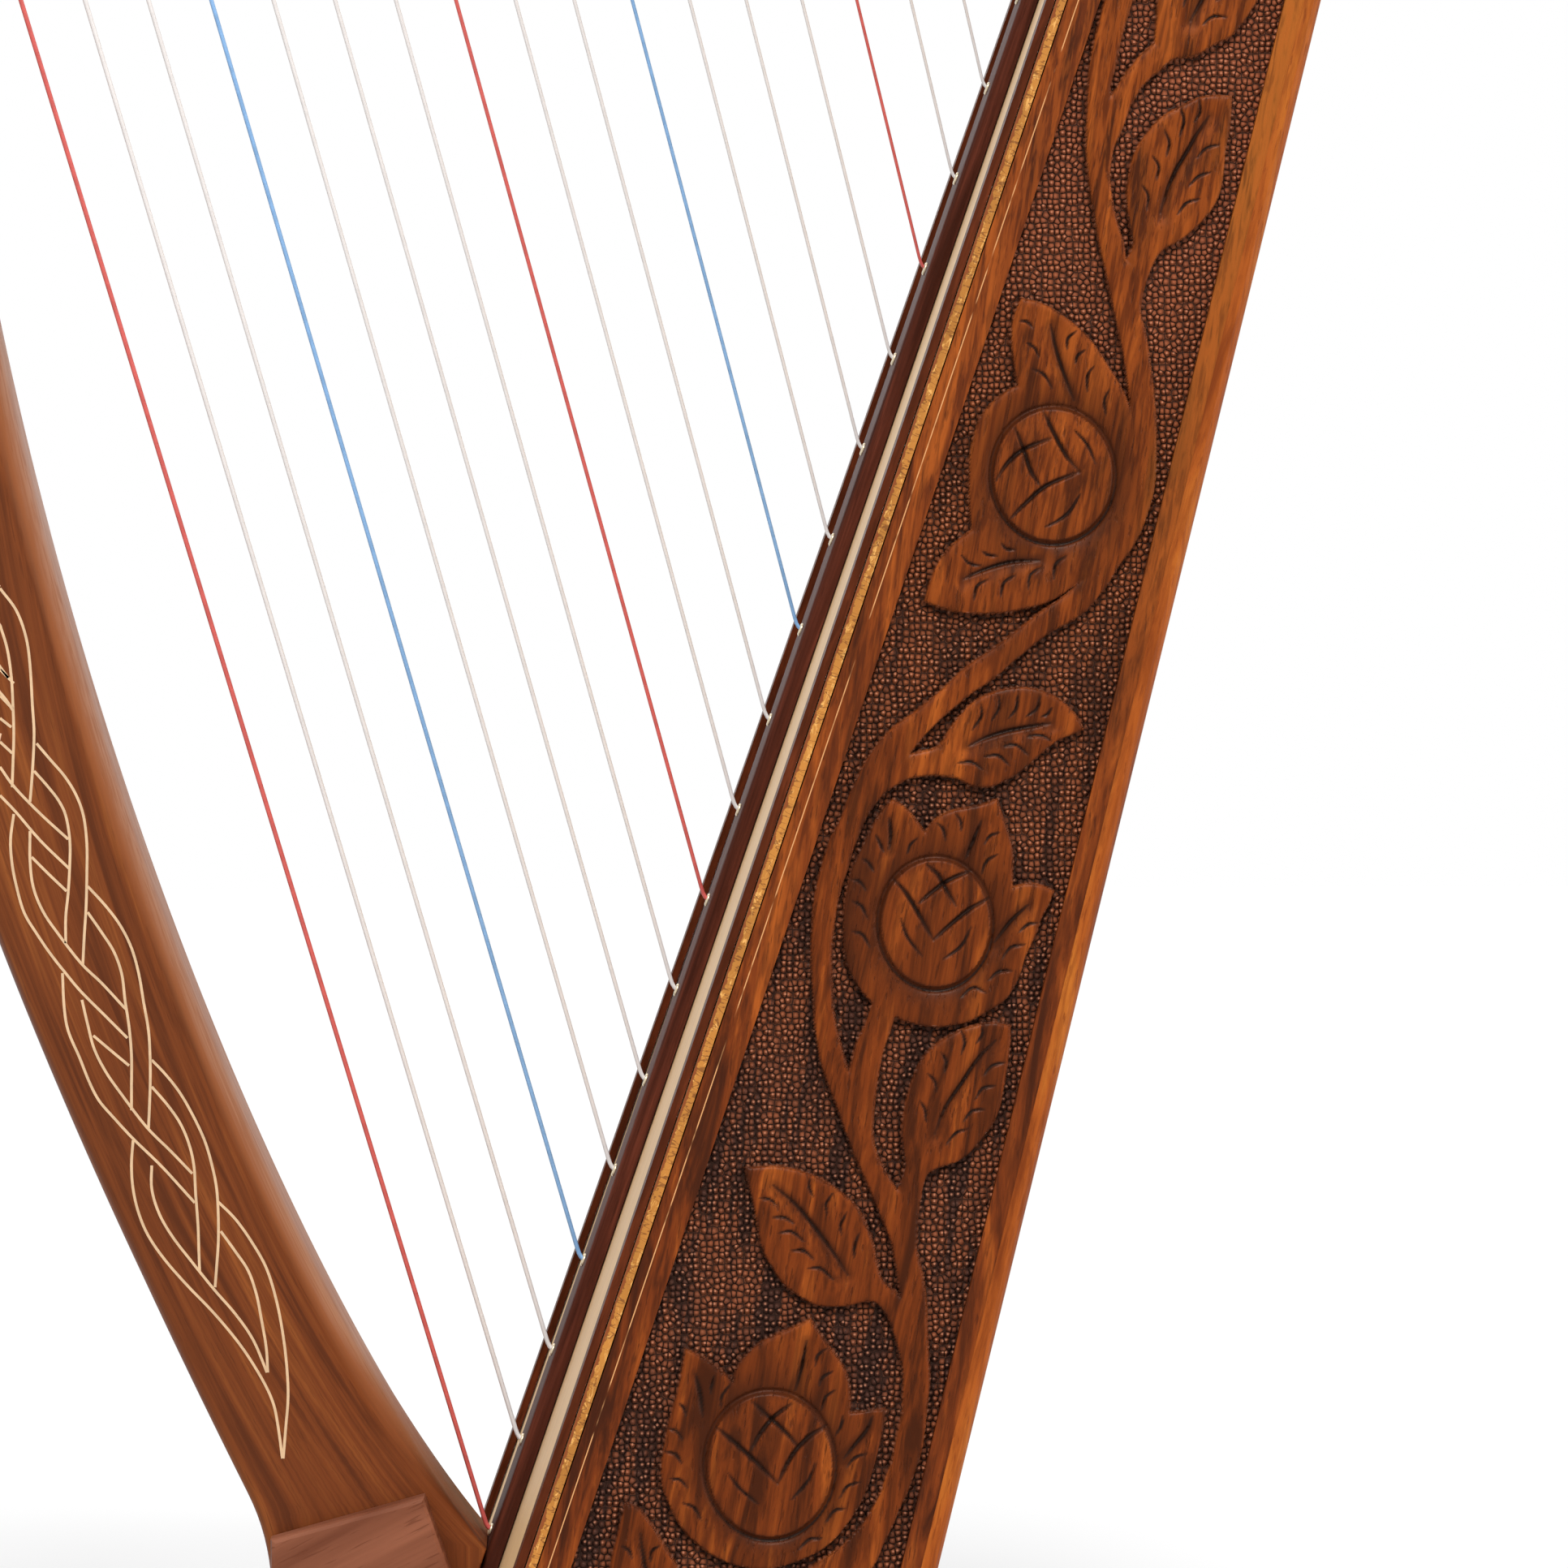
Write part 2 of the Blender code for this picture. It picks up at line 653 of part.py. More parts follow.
def make_pillar(harp):
    """The foot's upright sections, then the curve, whose edges grow rounder as it leaves."""
    inner = pillar_inner_edge()
    outer = pillar_outer_edge()
    knee = in_plane(FOOT_FRONT, FOOT_KNEE_Z)
    turn = bezier(knee, knee + in_plane(0, FOOT_BEND),
                  outer[0] - FOOT_BEND * lean_direction(FOOT_LEAN), outer[0], FOOT_RINGS + 1)
    pairs = [(in_plane(FOOT_FRONT, PANEL_BOTTOM), foot_rear(PANEL_BOTTOM))]
    for k, point in enumerate(turn[:-1]):
        share = (k + 1) / (FOOT_RINGS + 1)
        pairs.append((point, foot_rear(PANEL_BOTTOM + (inner[0].z - PANEL_BOTTOM) * share)))
    half = pillar_half_thickness(0)
    rings = [section(front, rear, half, FOOT_FRONT_ROUNDING, FOOT_REAR_ROUNDING)
             for front, rear in pairs]
    for k, (front, rear) in enumerate(zip(outer, inner)):
        half = pillar_half_thickness(min(front.z, rear.z))
        ease = min(k / ROUNDING_RINGS, 1)
        front_radius = FOOT_FRONT_ROUNDING + (OUTER_EDGE_ROUNDING - FOOT_FRONT_ROUNDING) * ease
        rear_radius = FOOT_REAR_ROUNDING + (INNER_EDGE_ROUNDING - FOOT_REAR_ROUNDING) * ease
        rings.append(section(front, rear, half, front_radius, rear_radius))
    add_object("pillar", loft(rings), "walnut", harp)


def make_cheek(harp, name, side):
    """A plate beside the foot that ties the pillar to the base and the box."""
    corner = in_plane(CHEEK_CORNER_X, CHEEK_CORNER_Z)
    axis = lean_direction(CHEEK_LEAN)
    front_top = corner - CHEEK_WIDTH * right_of(axis)
    front_top = front_top + (FOOT_FRONT - front_top.x) / axis.x * axis
    depth = BOARD_FACE - 2 * GAP
    reach = (depth - corner.dot(INWARD)) / (-axis).dot(INWARD)
    rear_top = corner - reach * axis
    rear_bottom = board(board_at_height(PANEL_BOTTOM, depth), 0, depth)
    outline = [in_plane(FOOT_FRONT, PANEL_BOTTOM), rear_bottom, rear_top, corner, front_top]
    inner = side * (PILLAR_THICKNESS / 2 + GAP)
    outer = side * (PILLAR_THICKNESS / 2 + GAP + CHEEK_THICKNESS)
    bm = loft([[p + y * ACROSS for p in outline] for y in (inner, outer)])
    rim = [e for e in bm.edges if all(abs(v.co.y - outer) < 1e-6 for v in e.verts)
           and not all(abs(v.co.z - PANEL_BOTTOM) < 1e-6 for v in e.verts)]
    bevel_edges(bm, rim, CHEEK_EDGE, 2)
    add_object(name, bm, "walnut", harp)


def neck_lower(i):
    """The neck's underside below bridge pin i."""
    along = (bridge_contact(i + 0.5) - bridge_contact(i - 0.5)).normalized()
    return bridge_contact(i) + NECK_BELOW_PINS * right_of(along)


def neck_upper(i):
    """The neck's top edge above bridge pin i."""
    share = max(i / STRING_COUNT - NECK_TREBLE_FROM, 0) / (1 - NECK_TREBLE_FROM)
    return bridge_contact(i) + in_plane(0, NECK_ABOVE_PINS + NECK_TREBLE_RISE * share)


def neck_outline():
    """Anticlockwise from the inner corner of the joint with the pillar."""
    last = STRING_COUNT
    joint = PILLAR_TOP + GAP
    inner = in_plane(INNER_TOP_X, joint)
    outer = in_plane(INNER_TOP_X - PILLAR_WIDTH, joint)
    start = neck_lower(THROAT_STRING)
    along = (neck_lower(THROAT_STRING + 0.5) - neck_lower(THROAT_STRING - 0.5)).normalized()
    points = [inner - in_plane(0, CUT_SPARE)]
    points += bezier(inner, inner + in_plane(0, THROAT_HANDLES[0]),
                     start - THROAT_HANDLES[1] * along, start, 9)[:-1]
    steps = 18
    points += [neck_lower(THROAT_STRING + (last - THROAT_STRING) * k / steps)
               for k in range(steps)]
    end = neck_lower(last)
    along = (neck_lower(last) - neck_lower(last - 0.5)).normalized()
    heel_front = board(BOARD_TOP + GAP, 0, HEEL_FRONT)
    heel_back = board(BOARD_TOP + GAP, 0, HEEL_BACK)
    points += bezier(end, end + HEEL_FRONT_HANDLES[0] * along,
                     heel_front + HEEL_FRONT_HANDLES[1] * UP, heel_front, 10)
    points += [heel_front - CUT_SPARE * UP, heel_back - CUT_SPARE * UP]
    top = neck_upper(last)
    along = (neck_upper(last) - neck_upper(last - 0.5)).normalized()
    points += bezier(heel_back, heel_back + HEEL_BACK_HANDLES[0] * UP,
                     top + HEEL_BACK_HANDLES[1] * along, top, 14)[:-1]
    steps = 20
    points += [neck_upper(last + (1 - last) * k / steps) for k in range(steps)]
    bass = neck_upper(1)
    tip = bass + in_plane(-HEAD_REACH, HEAD_RISE)
    points += bezier(bass, bass - in_plane(0.4 * HEAD_REACH, 0), tip + in_plane(HEAD_RISE, 0),
                     tip, 5)[:-1]
    front = tip - in_plane(HEAD_ROUNDING, 1.2 * HEAD_ROUNDING)
    points += bezier(tip, tip - in_plane(0.6 * HEAD_ROUNDING, 0),
                     front + in_plane(0, 0.6 * HEAD_ROUNDING), front, 6)[:-1]
    drop = (front.z - outer.z) * 0.4
    points += bezier(front, front - in_plane(0, drop), outer + in_plane(0, drop), outer, 11)
    points.append(outer - in_plane(0, CUT_SPARE))
    return points


def bridge_pin_solid(i):
    """A small turned pin with a groove for the string, set into the neck's face."""
    centre = bridge_pin(i)
    face = -NECK_THICKNESS / 2
    half_groove = BRIDGE_GROOVE_WIDTH / 2
    slope = BRIDGE_PIN_RADIUS - BRIDGE_GROOVE_RADIUS
    groove = string_side()
    profile = [(face + CUT_OVER, BRIDGE_PIN_RADIUS),
               (groove + half_groove, BRIDGE_PIN_RADIUS),
               (groove + half_groove - slope, BRIDGE_GROOVE_RADIUS),
               (groove - half_groove + slope, BRIDGE_GROOVE_RADIUS),
               (groove - half_groove, BRIDGE_PIN_RADIUS),
               (face - BRIDGE_PIN_LENGTH, BRIDGE_PIN_RADIUS)]
    return loft([circle(centre + y * ACROSS, X_AXIS, Z_AXIS, radius, BRIDGE_PIN_SIDES)
                 for y, radius in profile])


def make_neck(harp):
    """The neck, with rounded edges, its bridge pins and a hole for each tuning pin."""
    half = NECK_THICKNESS / 2
    outline = neck_outline()
    inset_outline = inset_polygon(outline, NECK_EDGE)
    rings = []
    for angle in (0, 30, 60, 90):
        lift = NECK_EDGE * (1 - cos(radians(angle)))
        y = half - NECK_EDGE * (1 - sin(radians(angle)))
        share = lift / NECK_EDGE
        rings.append((y, [p.lerp(q, share) for p, q in zip(outline, inset_outline)]))
    levels = [(-y, ring) for y, ring in reversed(rings)] + rings
    bm = loft([[p + y * ACROSS for p in ring] for y, ring in levels])
    cut_flat(bm, in_plane(0, PILLAR_TOP + GAP), Vector((0, 0, -1)))
    obj = add_object("neck", bm, "walnut", harp)
    spare = [panel_ring(t, -NECK_THICKNESS, NECK_THICKNESS,
                        HEEL_FRONT - CUT_SPARE, HEEL_BACK + CUT_SPARE)
             for t in (BOARD_TOP - 2 * CUT_SPARE, BOARD_TOP + GAP)]
    combine(obj, [loft(spare)], "DIFFERENCE")
    combine(obj, [joined([bridge_pin_solid(i) for i in range(1, STRING_COUNT + 1)])], "UNION")
    holes = []
    radius = (TUNING_PIN_RADIUS + TUNING_PIN_CLEARANCE) / cos(pi / TUNING_HOLE_SIDES)
    for i in range(1, STRING_COUNT + 1):
        holes.append(loft([circle(tuning_pin(i) + y * ACROSS, X_AXIS, Z_AXIS, radius,
                                  TUNING_HOLE_SIDES)
                           for y in (-half - CUT_OVER, half + CUT_OVER)]))
    combine(obj, [joined(holes)], "DIFFERENCE")


def inset_polygon(points, distance):
    """An outline in the harp's plane, run anticlockwise, moved inwards."""
    moved = []
    for k, point in enumerate(points):
        before = (point - points[k - 1]).normalized()
        after = (points[(k + 1) % len(points)] - point).normalized()
        tangent = (before + after).normalized()
        miter = distance / max(before.dot(tangent), 0.5)
        moved.append(point + miter * Vector((-tangent.z, 0, tangent.x)))
    return moved


# Strings and tuning pins
def make_string(harp, i):
    """From its knot under the inner rib, over its bridge pin, to its tuning pin."""
    radius = string_radius(i)
    start = entry(i)
    side = string_side() * ACROSS
    contact = bridge_contact(i) + side
    end = winding_contact(i) + side
    knot = INNER_RIB_END + GAP
    above = start - STRING_BEND * INWARD
    rise = (contact - above).normalized()
    points = [start + (knot + KNOT_LENGTH + STRING_TAIL) * INWARD,
              start + (knot + KNOT_LENGTH) * INWARD,
              start + (knot + KNOT_LENGTH * 0.7) * INWARD,
              start + (knot + KNOT_LENGTH * 0.3) * INWARD,
              start + knot * INWARD,
              above,
              above + STRING_BEND * rise,
              contact - STRING_BEND * rise,
              contact + STRING_BEND * (end - contact).normalized(),
              end]
    radii = [radius, radius, KNOT_RADIUS, KNOT_RADIUS] + [radius] * 6
    note = (i - 1) % OCTAVE
    finish = {0: "nylon_red", 3: "nylon_blue"}.get(note, "nylon_clear")
    add_object("string_%02d" % i, tube(points, radii, STRING_SIDES), finish, harp)


def square_ring(y, half):
    """Points on a square, as many and in the same order as on a pin's circle."""
    ring = []
    for k in range(TUNING_PIN_SIDES):
        a = 2 * pi * (k + 0.5) / TUNING_PIN_SIDES
        stretch = half / max(abs(cos(a)), abs(sin(a)))
        ring.append(Vector((stretch * cos(a), y, stretch * sin(a))))
    return ring


def round_ring(y, radius):
    return [Vector((radius * cos(a), y, radius * sin(a)))
            for a in [2 * pi * (k + 0.5) / TUNING_PIN_SIDES for k in range(TUNING_PIN_SIDES)]]


def tuning_pin_mesh():
    """A steel pin with a rounded string end and a tapered square head."""
    face = NECK_THICKNESS / 2
    tip = -face - TUNING_PIN_STRING_END
    shank = face + TUNING_PIN_SHANK
    rings = [round_ring(tip, TUNING_PIN_RADIUS * TUNING_PIN_TIP_SHARE),
             round_ring(tip + TUNING_PIN_TIP, TUNING_PIN_RADIUS),
             round_ring(shank, TUNING_PIN_RADIUS),
             square_ring(shank + TUNING_PIN_SHOULDER, TUNING_PIN_SQUARE),
             square_ring(shank + TUNING_PIN_HEAD, TUNING_PIN_SQUARE * TUNING_PIN_TAPER)]
    return loft(rings)


def make_tuning_pins(harp):
    first = add_object("tuning_pin_01", tuning_pin_mesh(), "nickel", harp)
    first.location = tuning_pin(1)
    for i in range(2, STRING_COUNT + 1):
        pin = bpy.data.objects.new("tuning_pin_%02d" % i, first.data)
        bpy.context.scene.collection.objects.link(pin)
        pin.parent = harp
        pin.location = tuning_pin(i)


def stand_on_origin(harp):
    """Moves the harp so that the origin is at the bottom centre of its box."""
    bpy.context.view_layer.update()
    corners = [obj.matrix_world @ v.co for obj in harp.children for v in obj.data.vertices]
    low = [min(c[axis] for c in corners) for axis in range(3)]
    high = [max(c[axis] for c in corners) for axis in range(3)]
    harp.location = Vector((-(low[0] + high[0]) / 2, -(low[1] + high[1]) / 2, -low[2]))
    bpy.context.view_layer.update()


def main():
    for obj in list(bpy.data.objects):
        bpy.data.objects.remove(obj)
    harp = bpy.data.objects.new("harp", None)
    bpy.context.scene.collection.objects.link(harp)
    make_soundboard(harp)
    make_string_rib(harp)
    make_inner_rib(harp)
    for name, side in (("left", -1), ("right", 1)):
        make_edge_trim(harp, "edge_trim_" + name, side)
        make_side(harp, "side_" + name, side)
        make_cheek(harp, "base_cheek_" + name, side)
    make_back(harp)
    places = [hole[0] for hole in SOUND_HOLES]
    for k, (low, high) in enumerate(zip(places, places[1:])):
        make_back_brace(harp, "back_brace_%d" % (k + 1), (low + high) / 2)
    make_base(harp)
    make_top_block(harp)
    make_pillar(harp)
    make_neck(harp)
    for i in range(1, STRING_COUNT + 1):
        make_string(harp, i)
    make_tuning_pins(harp)
    stand_on_origin(harp)


main()
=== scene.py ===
"""Looks of a small carved frame harp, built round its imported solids.

Places are given in the harp's own plan: the origin is where string 1 enters the string rib,
+X points to the sound box, +Z up, and the carved side that faces the camera is at -Y.
"""

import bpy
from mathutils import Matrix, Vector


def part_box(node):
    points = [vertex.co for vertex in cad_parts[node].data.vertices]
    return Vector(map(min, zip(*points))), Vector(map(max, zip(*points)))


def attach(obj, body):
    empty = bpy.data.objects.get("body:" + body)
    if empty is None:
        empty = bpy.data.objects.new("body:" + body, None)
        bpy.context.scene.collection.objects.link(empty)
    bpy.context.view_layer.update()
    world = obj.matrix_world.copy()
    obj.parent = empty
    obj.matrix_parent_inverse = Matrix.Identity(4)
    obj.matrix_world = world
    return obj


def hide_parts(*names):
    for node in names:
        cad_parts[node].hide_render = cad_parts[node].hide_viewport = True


bl_info = {
    "name": "Carved Frame Harp",
    "version": (1, 0, 0),
    "blender": (4, 5, 0),
    "location": "View3D > Sidebar > Harp",
    "description": "Carving, inlay, strings and finishes of a small frame harp",
    "category": "Object",
}

from math import cos, exp, log, pi, radians, sin, sqrt

import bmesh
import bpy
import numpy as np
from mathutils import Vector

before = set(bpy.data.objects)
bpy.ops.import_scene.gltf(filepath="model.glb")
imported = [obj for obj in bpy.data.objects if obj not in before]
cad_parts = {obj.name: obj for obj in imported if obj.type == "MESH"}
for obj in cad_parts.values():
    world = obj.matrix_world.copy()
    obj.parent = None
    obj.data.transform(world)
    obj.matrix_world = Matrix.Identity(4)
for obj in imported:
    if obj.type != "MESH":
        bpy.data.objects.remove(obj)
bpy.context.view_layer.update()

# The solids' own sizes, which these pieces are fitted to
GAP = 0.0003
STRING_COUNT = 22
OCTAVE = 7
STRING_PITCH = 0.02346
C_STRING_LENGTHS = (0.575, 0.385, 0.222, 0.116)
BASS_LEAN = radians(16.75)
LEAN_STEP = radians(0.165)
BASS_GAUGE = 0.0012
TREBLE_GAUGE = 0.0006
BOARD_LEAN = radians(19.03)
BOARD_TOP = STRING_PITCH * (STRING_COUNT - 1) + 0.0373
RIB_THICKNESS = 0.0039
BOARD_THICKNESS = 0.0022
INNER_RIB_THICKNESS = 0.005
BOX_HALF_WIDTH = 0.140
WIDTH_TAPER = 0.108
BOX_DEPTH = 0.0950
DEPTH_TAPER = 0.0815
BACK_THICKNESS = 0.004
FIELD_DEPTH = 0.0025
FIELD_FRONT_BORDER = 0.0070
FIELD_BACK_BORDER = 0.0083
FIELD_END_BORDER = 0.014
STRING_1_HEIGHT = 0.095
BASE_THICKNESS = 0.022
BASE_FRONT = -0.058
CAP_THICKNESS = 0.006
PILLAR_TOP = 0.460
PILLAR_WIDTH = 0.040
PILLAR_THICKNESS = 0.036
NECK_THICKNESS = 0.030
BRIDGE_GROOVE_RADIUS = 0.0011
STRING_STANDOFF = 0.0070
TUNING_PIN_RADIUS = 0.00305
TUNING_PIN_DISTANCE = 0.027
TUNING_PIN_TURN = radians(12)

UP = Vector((sin(BOARD_LEAN), 0, cos(BOARD_LEAN)))
ACROSS = Vector((0, 1, 0))
INWARD = Vector((cos(BOARD_LEAN), 0, -sin(BOARD_LEAN)))
BOARD_FACE = RIB_THICKNESS + GAP
BOARD_INNER = BOARD_FACE + BOARD_THICKNESS
SIDE_FRONT = BOARD_INNER + GAP
INNER_RIB_END = SIDE_FRONT + INNER_RIB_THICKNESS
PANEL_BOTTOM = BASE_THICKNESS - STRING_1_HEIGHT + GAP
PANEL_TOP = BOARD_TOP - CAP_THICKNESS - GAP
HOME = Vector((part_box("base")[0].x - BASE_FRONT, 0, STRING_1_HEIGHT))

# The camera, in the harp's plan, and the photograph's size
CAMERA_PLACE = Vector((0.01705, -1.30586, 0.21325))
CAMERA_YAW = radians(2.419)
CAMERA_PITCH = radians(-1.289)
CAMERA_REACH = 6540.0
PHOTO_SIZE = 1932

MM = 0.001

# The pillar's curves: points on its edges, and how far the edges lean and reach from them
PILLAR_RINGS = 110
PILLAR_FOOT_TOP = -0.002
FOOT_KNEE = Vector((-0.053, 0, -0.016))
SHOULDER = Vector((-0.059, 0, 0.012))
SHOULDER_LEAN = radians(26.6)
INNER_TOP_X = -0.1375
ARRIS_RADIUS = 0.003
REAR_ARRIS_RADIUS = 0.0008

# Looks that several materials share
WARM_SHINE = (1.0, 0.78, 0.66, 1)
GRAIN_RELIEF = 0.00006
SIDE_GRAIN_LEAN = radians(10)
PALE_LINE_DEPTH = 0.00895
PEBBLE_SHINE_LIFT = 0.00014


# Sizes and colours
def length_property(name, description, default, low, high):
    return bpy.props.FloatProperty(name=name, description=description, default=default,
                                   min=low, max=high, unit="LENGTH")


def tone_property(name, description, default):
    return bpy.props.FloatVectorProperty(name=name, description=description, default=default,
                                         subtype="COLOR", size=3, min=0, max=1)


class HarpSizes(bpy.types.PropertyGroup):
    carving_depth: length_property("Carving depth", "How far the ground lies below the border",
                                   0.0023, 0.0005, 0.0024)
    grid_step: length_property("Carving detail", "Distance between points on the carved field",
                               0.00034, 0.0002, 0.002)
    pebble: length_property("Pebble", "Width of one punched pebble of the ground",
                            0.0014, 0.0005, 0.005)
    inlay_width: length_property("Inlay width", "Width of the pale lines in the pillar",
                                 0.00065, 0.0002, 0.003)
    string_turns: bpy.props.FloatProperty(
        name="Turns on a pin", description="Turns of string on each tuning pin",
        default=3.4, min=1, max=6)


class HarpColours(bpy.types.PropertyGroup):
    walnut: tone_property("Walnut", "Middle tone of the oiled wood", (0.152, 0.030, 0.0055))
    walnut_dark: tone_property("Dark walnut", "Dark streaks of the oiled wood",
                               (0.044, 0.010, 0.0030))
    walnut_light: tone_property("Light walnut", "Light streaks of the oiled wood",
                                (0.320, 0.074, 0.011))
    sapwood: tone_property("Sapwood", "Golden streaks near the back edge", (0.420, 0.124, 0.017))
    ground: tone_property("Ground", "Punched ground of the carved field", (0.270, 0.080, 0.036))
    # A painted highlight on the upper side of each pebble.
    ground_highlight: tone_property("Ground polish", "Rubbed tops of the pebbles", (0.500, 0.215, 0.125))
    # Painted shade, used between the pebbles, in the cuts, in the rings round the discs and where
    # the ground lies in shade.
    ground_shade: tone_property("Ground shade", "Stain between the pebbles and in the cuts",
                               (0.014, 0.006, 0.004))
    gold_edge: tone_property("Ply edge", "Golden edge of the soundboard", (0.470, 0.190, 0.038))
    spruce: tone_property("Soundboard", "Pale face of the soundboard", (0.780, 0.520, 0.270))
    rosewood: tone_property("Rib", "Near-black wood of the string rib", (0.070, 0.017, 0.009))
    trim: tone_property("Trim", "Dark strips along the soundboard", (0.078, 0.016, 0.005))
    inlay: tone_property("Inlay", "Pale lines in the pillar", (0.700, 0.480, 0.290))
    red_string: tone_property("C strings", "Red nylon", (0.620, 0.110, 0.095))
    blue_string: tone_property("F strings", "Blue nylon", (0.230, 0.420, 0.700))
    clear_string: tone_property("Clear strings", "Clear nylon", (0.730, 0.690, 0.670))


def sizes():
    return bpy.context.scene.harp_sizes


def colours():
    return bpy.context.scene.harp_colours


# Places on the harp
def board(t, y, depth):
    """A point t up the soundboard, y across it and depth inwards from the rib's crown."""
    return t * UP + y * ACROSS + depth * INWARD


def half_width(t):
    """The box's half width at a place t up the soundboard."""
    return BOX_HALF_WIDTH - WIDTH_TAPER * t


def back_inner_depth(t, inset):
    """How far inwards the back lies there, less an inset measured square to it."""
    return BOX_DEPTH - DEPTH_TAPER * t - inset * sqrt(1 + DEPTH_TAPER ** 2)


def board_at_height(z, depth):
    """How far up the soundboard a height z is reached at some depth."""
    return (z + depth * sin(BOARD_LEAN)) / cos(BOARD_LEAN)


def back_at_height(z, inset):
    """How far up the soundboard the back, less an inset, reaches a height z."""
    depth = BOX_DEPTH - inset * sqrt(1 + DEPTH_TAPER ** 2)
    return (z + depth * sin(BOARD_LEAN)) / (cos(BOARD_LEAN) + DEPTH_TAPER * sin(BOARD_LEAN))


def lean_direction(angle):
    return Vector((-sin(angle), 0, cos(angle)))


def right_of(direction):
    return Vector((direction.z, 0, -direction.x))


def string_lean(i):
    return BASS_LEAN - LEAN_STEP * (i - 1)


def string_radius(i):
    share = (i - 1) / (STRING_COUNT - 1)
    return (BASS_GAUGE + (TREBLE_GAUGE - BASS_GAUGE) * share) / 2


def speaking_length(i):
    """A string's length from rib to bridge pin: a smooth curve through those of the C strings."""
    place = (i - 1) / OCTAVE
    total = 0
    for j, length in enumerate(C_STRING_LENGTHS):
        weight = 1
        for k in range(len(C_STRING_LENGTHS)):
            if k != j:
                weight *= (place - k) / (j - k)
        total += weight * log(length)
    return exp(total)


def entry(i):
    return board(STRING_PITCH * (i - 1), 0, 0)


def string_side():
    return -(NECK_THICKNESS / 2 + STRING_STANDOFF)


def bridge_contact(i):
    return entry(i) + speaking_length(i) * lean_direction(string_lean(i))


def bridge_pin(i):
    reach = BRIDGE_GROOVE_RADIUS + string_radius(i) + GAP
    return bridge_contact(i) - reach * right_of(lean_direction(string_lean(i)))


def pin_approach(i):
    """The way a string runs from its bridge pin to its tuning pin."""
    return lean_direction(string_lean(i) + TUNING_PIN_TURN)


def winding_contact(i):
    return bridge_contact(i) + TUNING_PIN_DISTANCE * pin_approach(i)


def tuning_pin(i):
    reach = TUNING_PIN_RADIUS + string_radius(i) + GAP
    return winding_contact(i) - reach * right_of(pin_approach(i))


def photo_ray(x, y):
    """The direction from the camera through a place on the photograph, in pixels."""
    ahead = Vector((sin(CAMERA_YAW) * cos(CAMERA_PITCH), cos(CAMERA_YAW) * cos(CAMERA_PITCH),
                    sin(CAMERA_PITCH)))
    right = Vector((cos(CAMERA_YAW), -sin(CAMERA_YAW), 0))
    above = right.cross(ahead)
    middle = PHOTO_SIZE / 2
    return ahead + (x - middle) / CAMERA_REACH * right - (y - middle) / CAMERA_REACH * above


def on_side_panel(x, y):
    """Where a pixel lies on the near side panel: how far up the board, and how far inwards."""
    ray = photo_ray(x, y)
    reach = (-BOX_HALF_WIDTH + WIDTH_TAPER * CAMERA_PLACE.dot(UP) - CAMERA_PLACE.y) / (
        ray.y - WIDTH_TAPER * ray.dot(UP))
    point = CAMERA_PLACE + reach * ray
    return point.dot(UP), point.dot(INWARD)


def on_pillar_face(x, y):
    """Where a pixel lies on the pillar's near face, in the plan's plane."""
    ray = photo_ray(x, y)
    point = CAMERA_PLACE + (-PILLAR_THICKNESS / 2 - CAMERA_PLACE.y) / ray.y * ray
    return point.x, point.z


# Mesh helpers
def new_object(name, mesh, materials, body="frame", angle=40):
    """Puts a mesh into the scene at the harp's place, riding on a body."""
    obj = bpy.data.objects.new(name, mesh)
    bpy.context.scene.collection.objects.link(obj)
    for material in materials:
        mesh.materials.append(material)
    mesh.shade_smooth()
    mesh.set_sharp_from_angle(angle=radians(angle))
    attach(obj, body)
    return obj


def finished_mesh(bm, name):
    bmesh.ops.recalc_face_normals(bm, faces=bm.faces)
    mesh = bpy.data.meshes.new(name)
    bm.to_mesh(mesh)
    bm.free()
    return mesh


def mesh_from(bm, name):
    """A mesh at the harp's place, out of one that was built in its own plan."""
    bmesh.ops.translate(bm, verts=bm.verts, vec=HOME)
    return finished_mesh(bm, name)


def swept(bm, rings):
    """Extrudes a first ring of points through the others and closes both ends."""
    verts = [bm.verts.new(p) for p in rings[0]]
    loop = [bm.edges.new((verts[k], verts[(k + 1) % len(verts)])) for k in range(len(verts))]
    bmesh.ops.contextual_create(bm, geom=loop)
    for ring in rings[1:]:
        made = bmesh.ops.extrude_edge_only(bm, edges=loop)["geom"]
        fresh = {g for g in made if isinstance(g, bmesh.types.BMVert)}
        verts = [next(e.other_vert(v) for e in v.link_edges if e.other_vert(v) in fresh)
                 for v in verts]
        for vert, point in zip(verts, ring):
            vert.co = point
        loop = [bm.edges.get((verts[k], verts[(k + 1) % len(verts)])) for k in range(len(verts))]
    bmesh.ops.contextual_create(bm, geom=loop)


def turned(bm, profile, centre, axis, steps):
    """Spins a profile of (radius, place along the axis) pairs into a closed turning."""
    axis = axis.normalized()
    arm = axis.orthogonal().normalized()
    verts = [bm.verts.new(centre + along * axis + radius * arm) for radius, along in profile]
    edges = [bm.edges.new(pair) for pair in zip(verts, verts[1:])]
    bmesh.ops.spin(bm, geom=verts + edges, cent=centre, axis=axis, dvec=(0, 0, 0),
                   angle=2 * pi, steps=steps, use_merge=True, use_duplicate=False)
    bmesh.ops.remove_doubles(bm, verts=bm.verts, dist=1e-6)


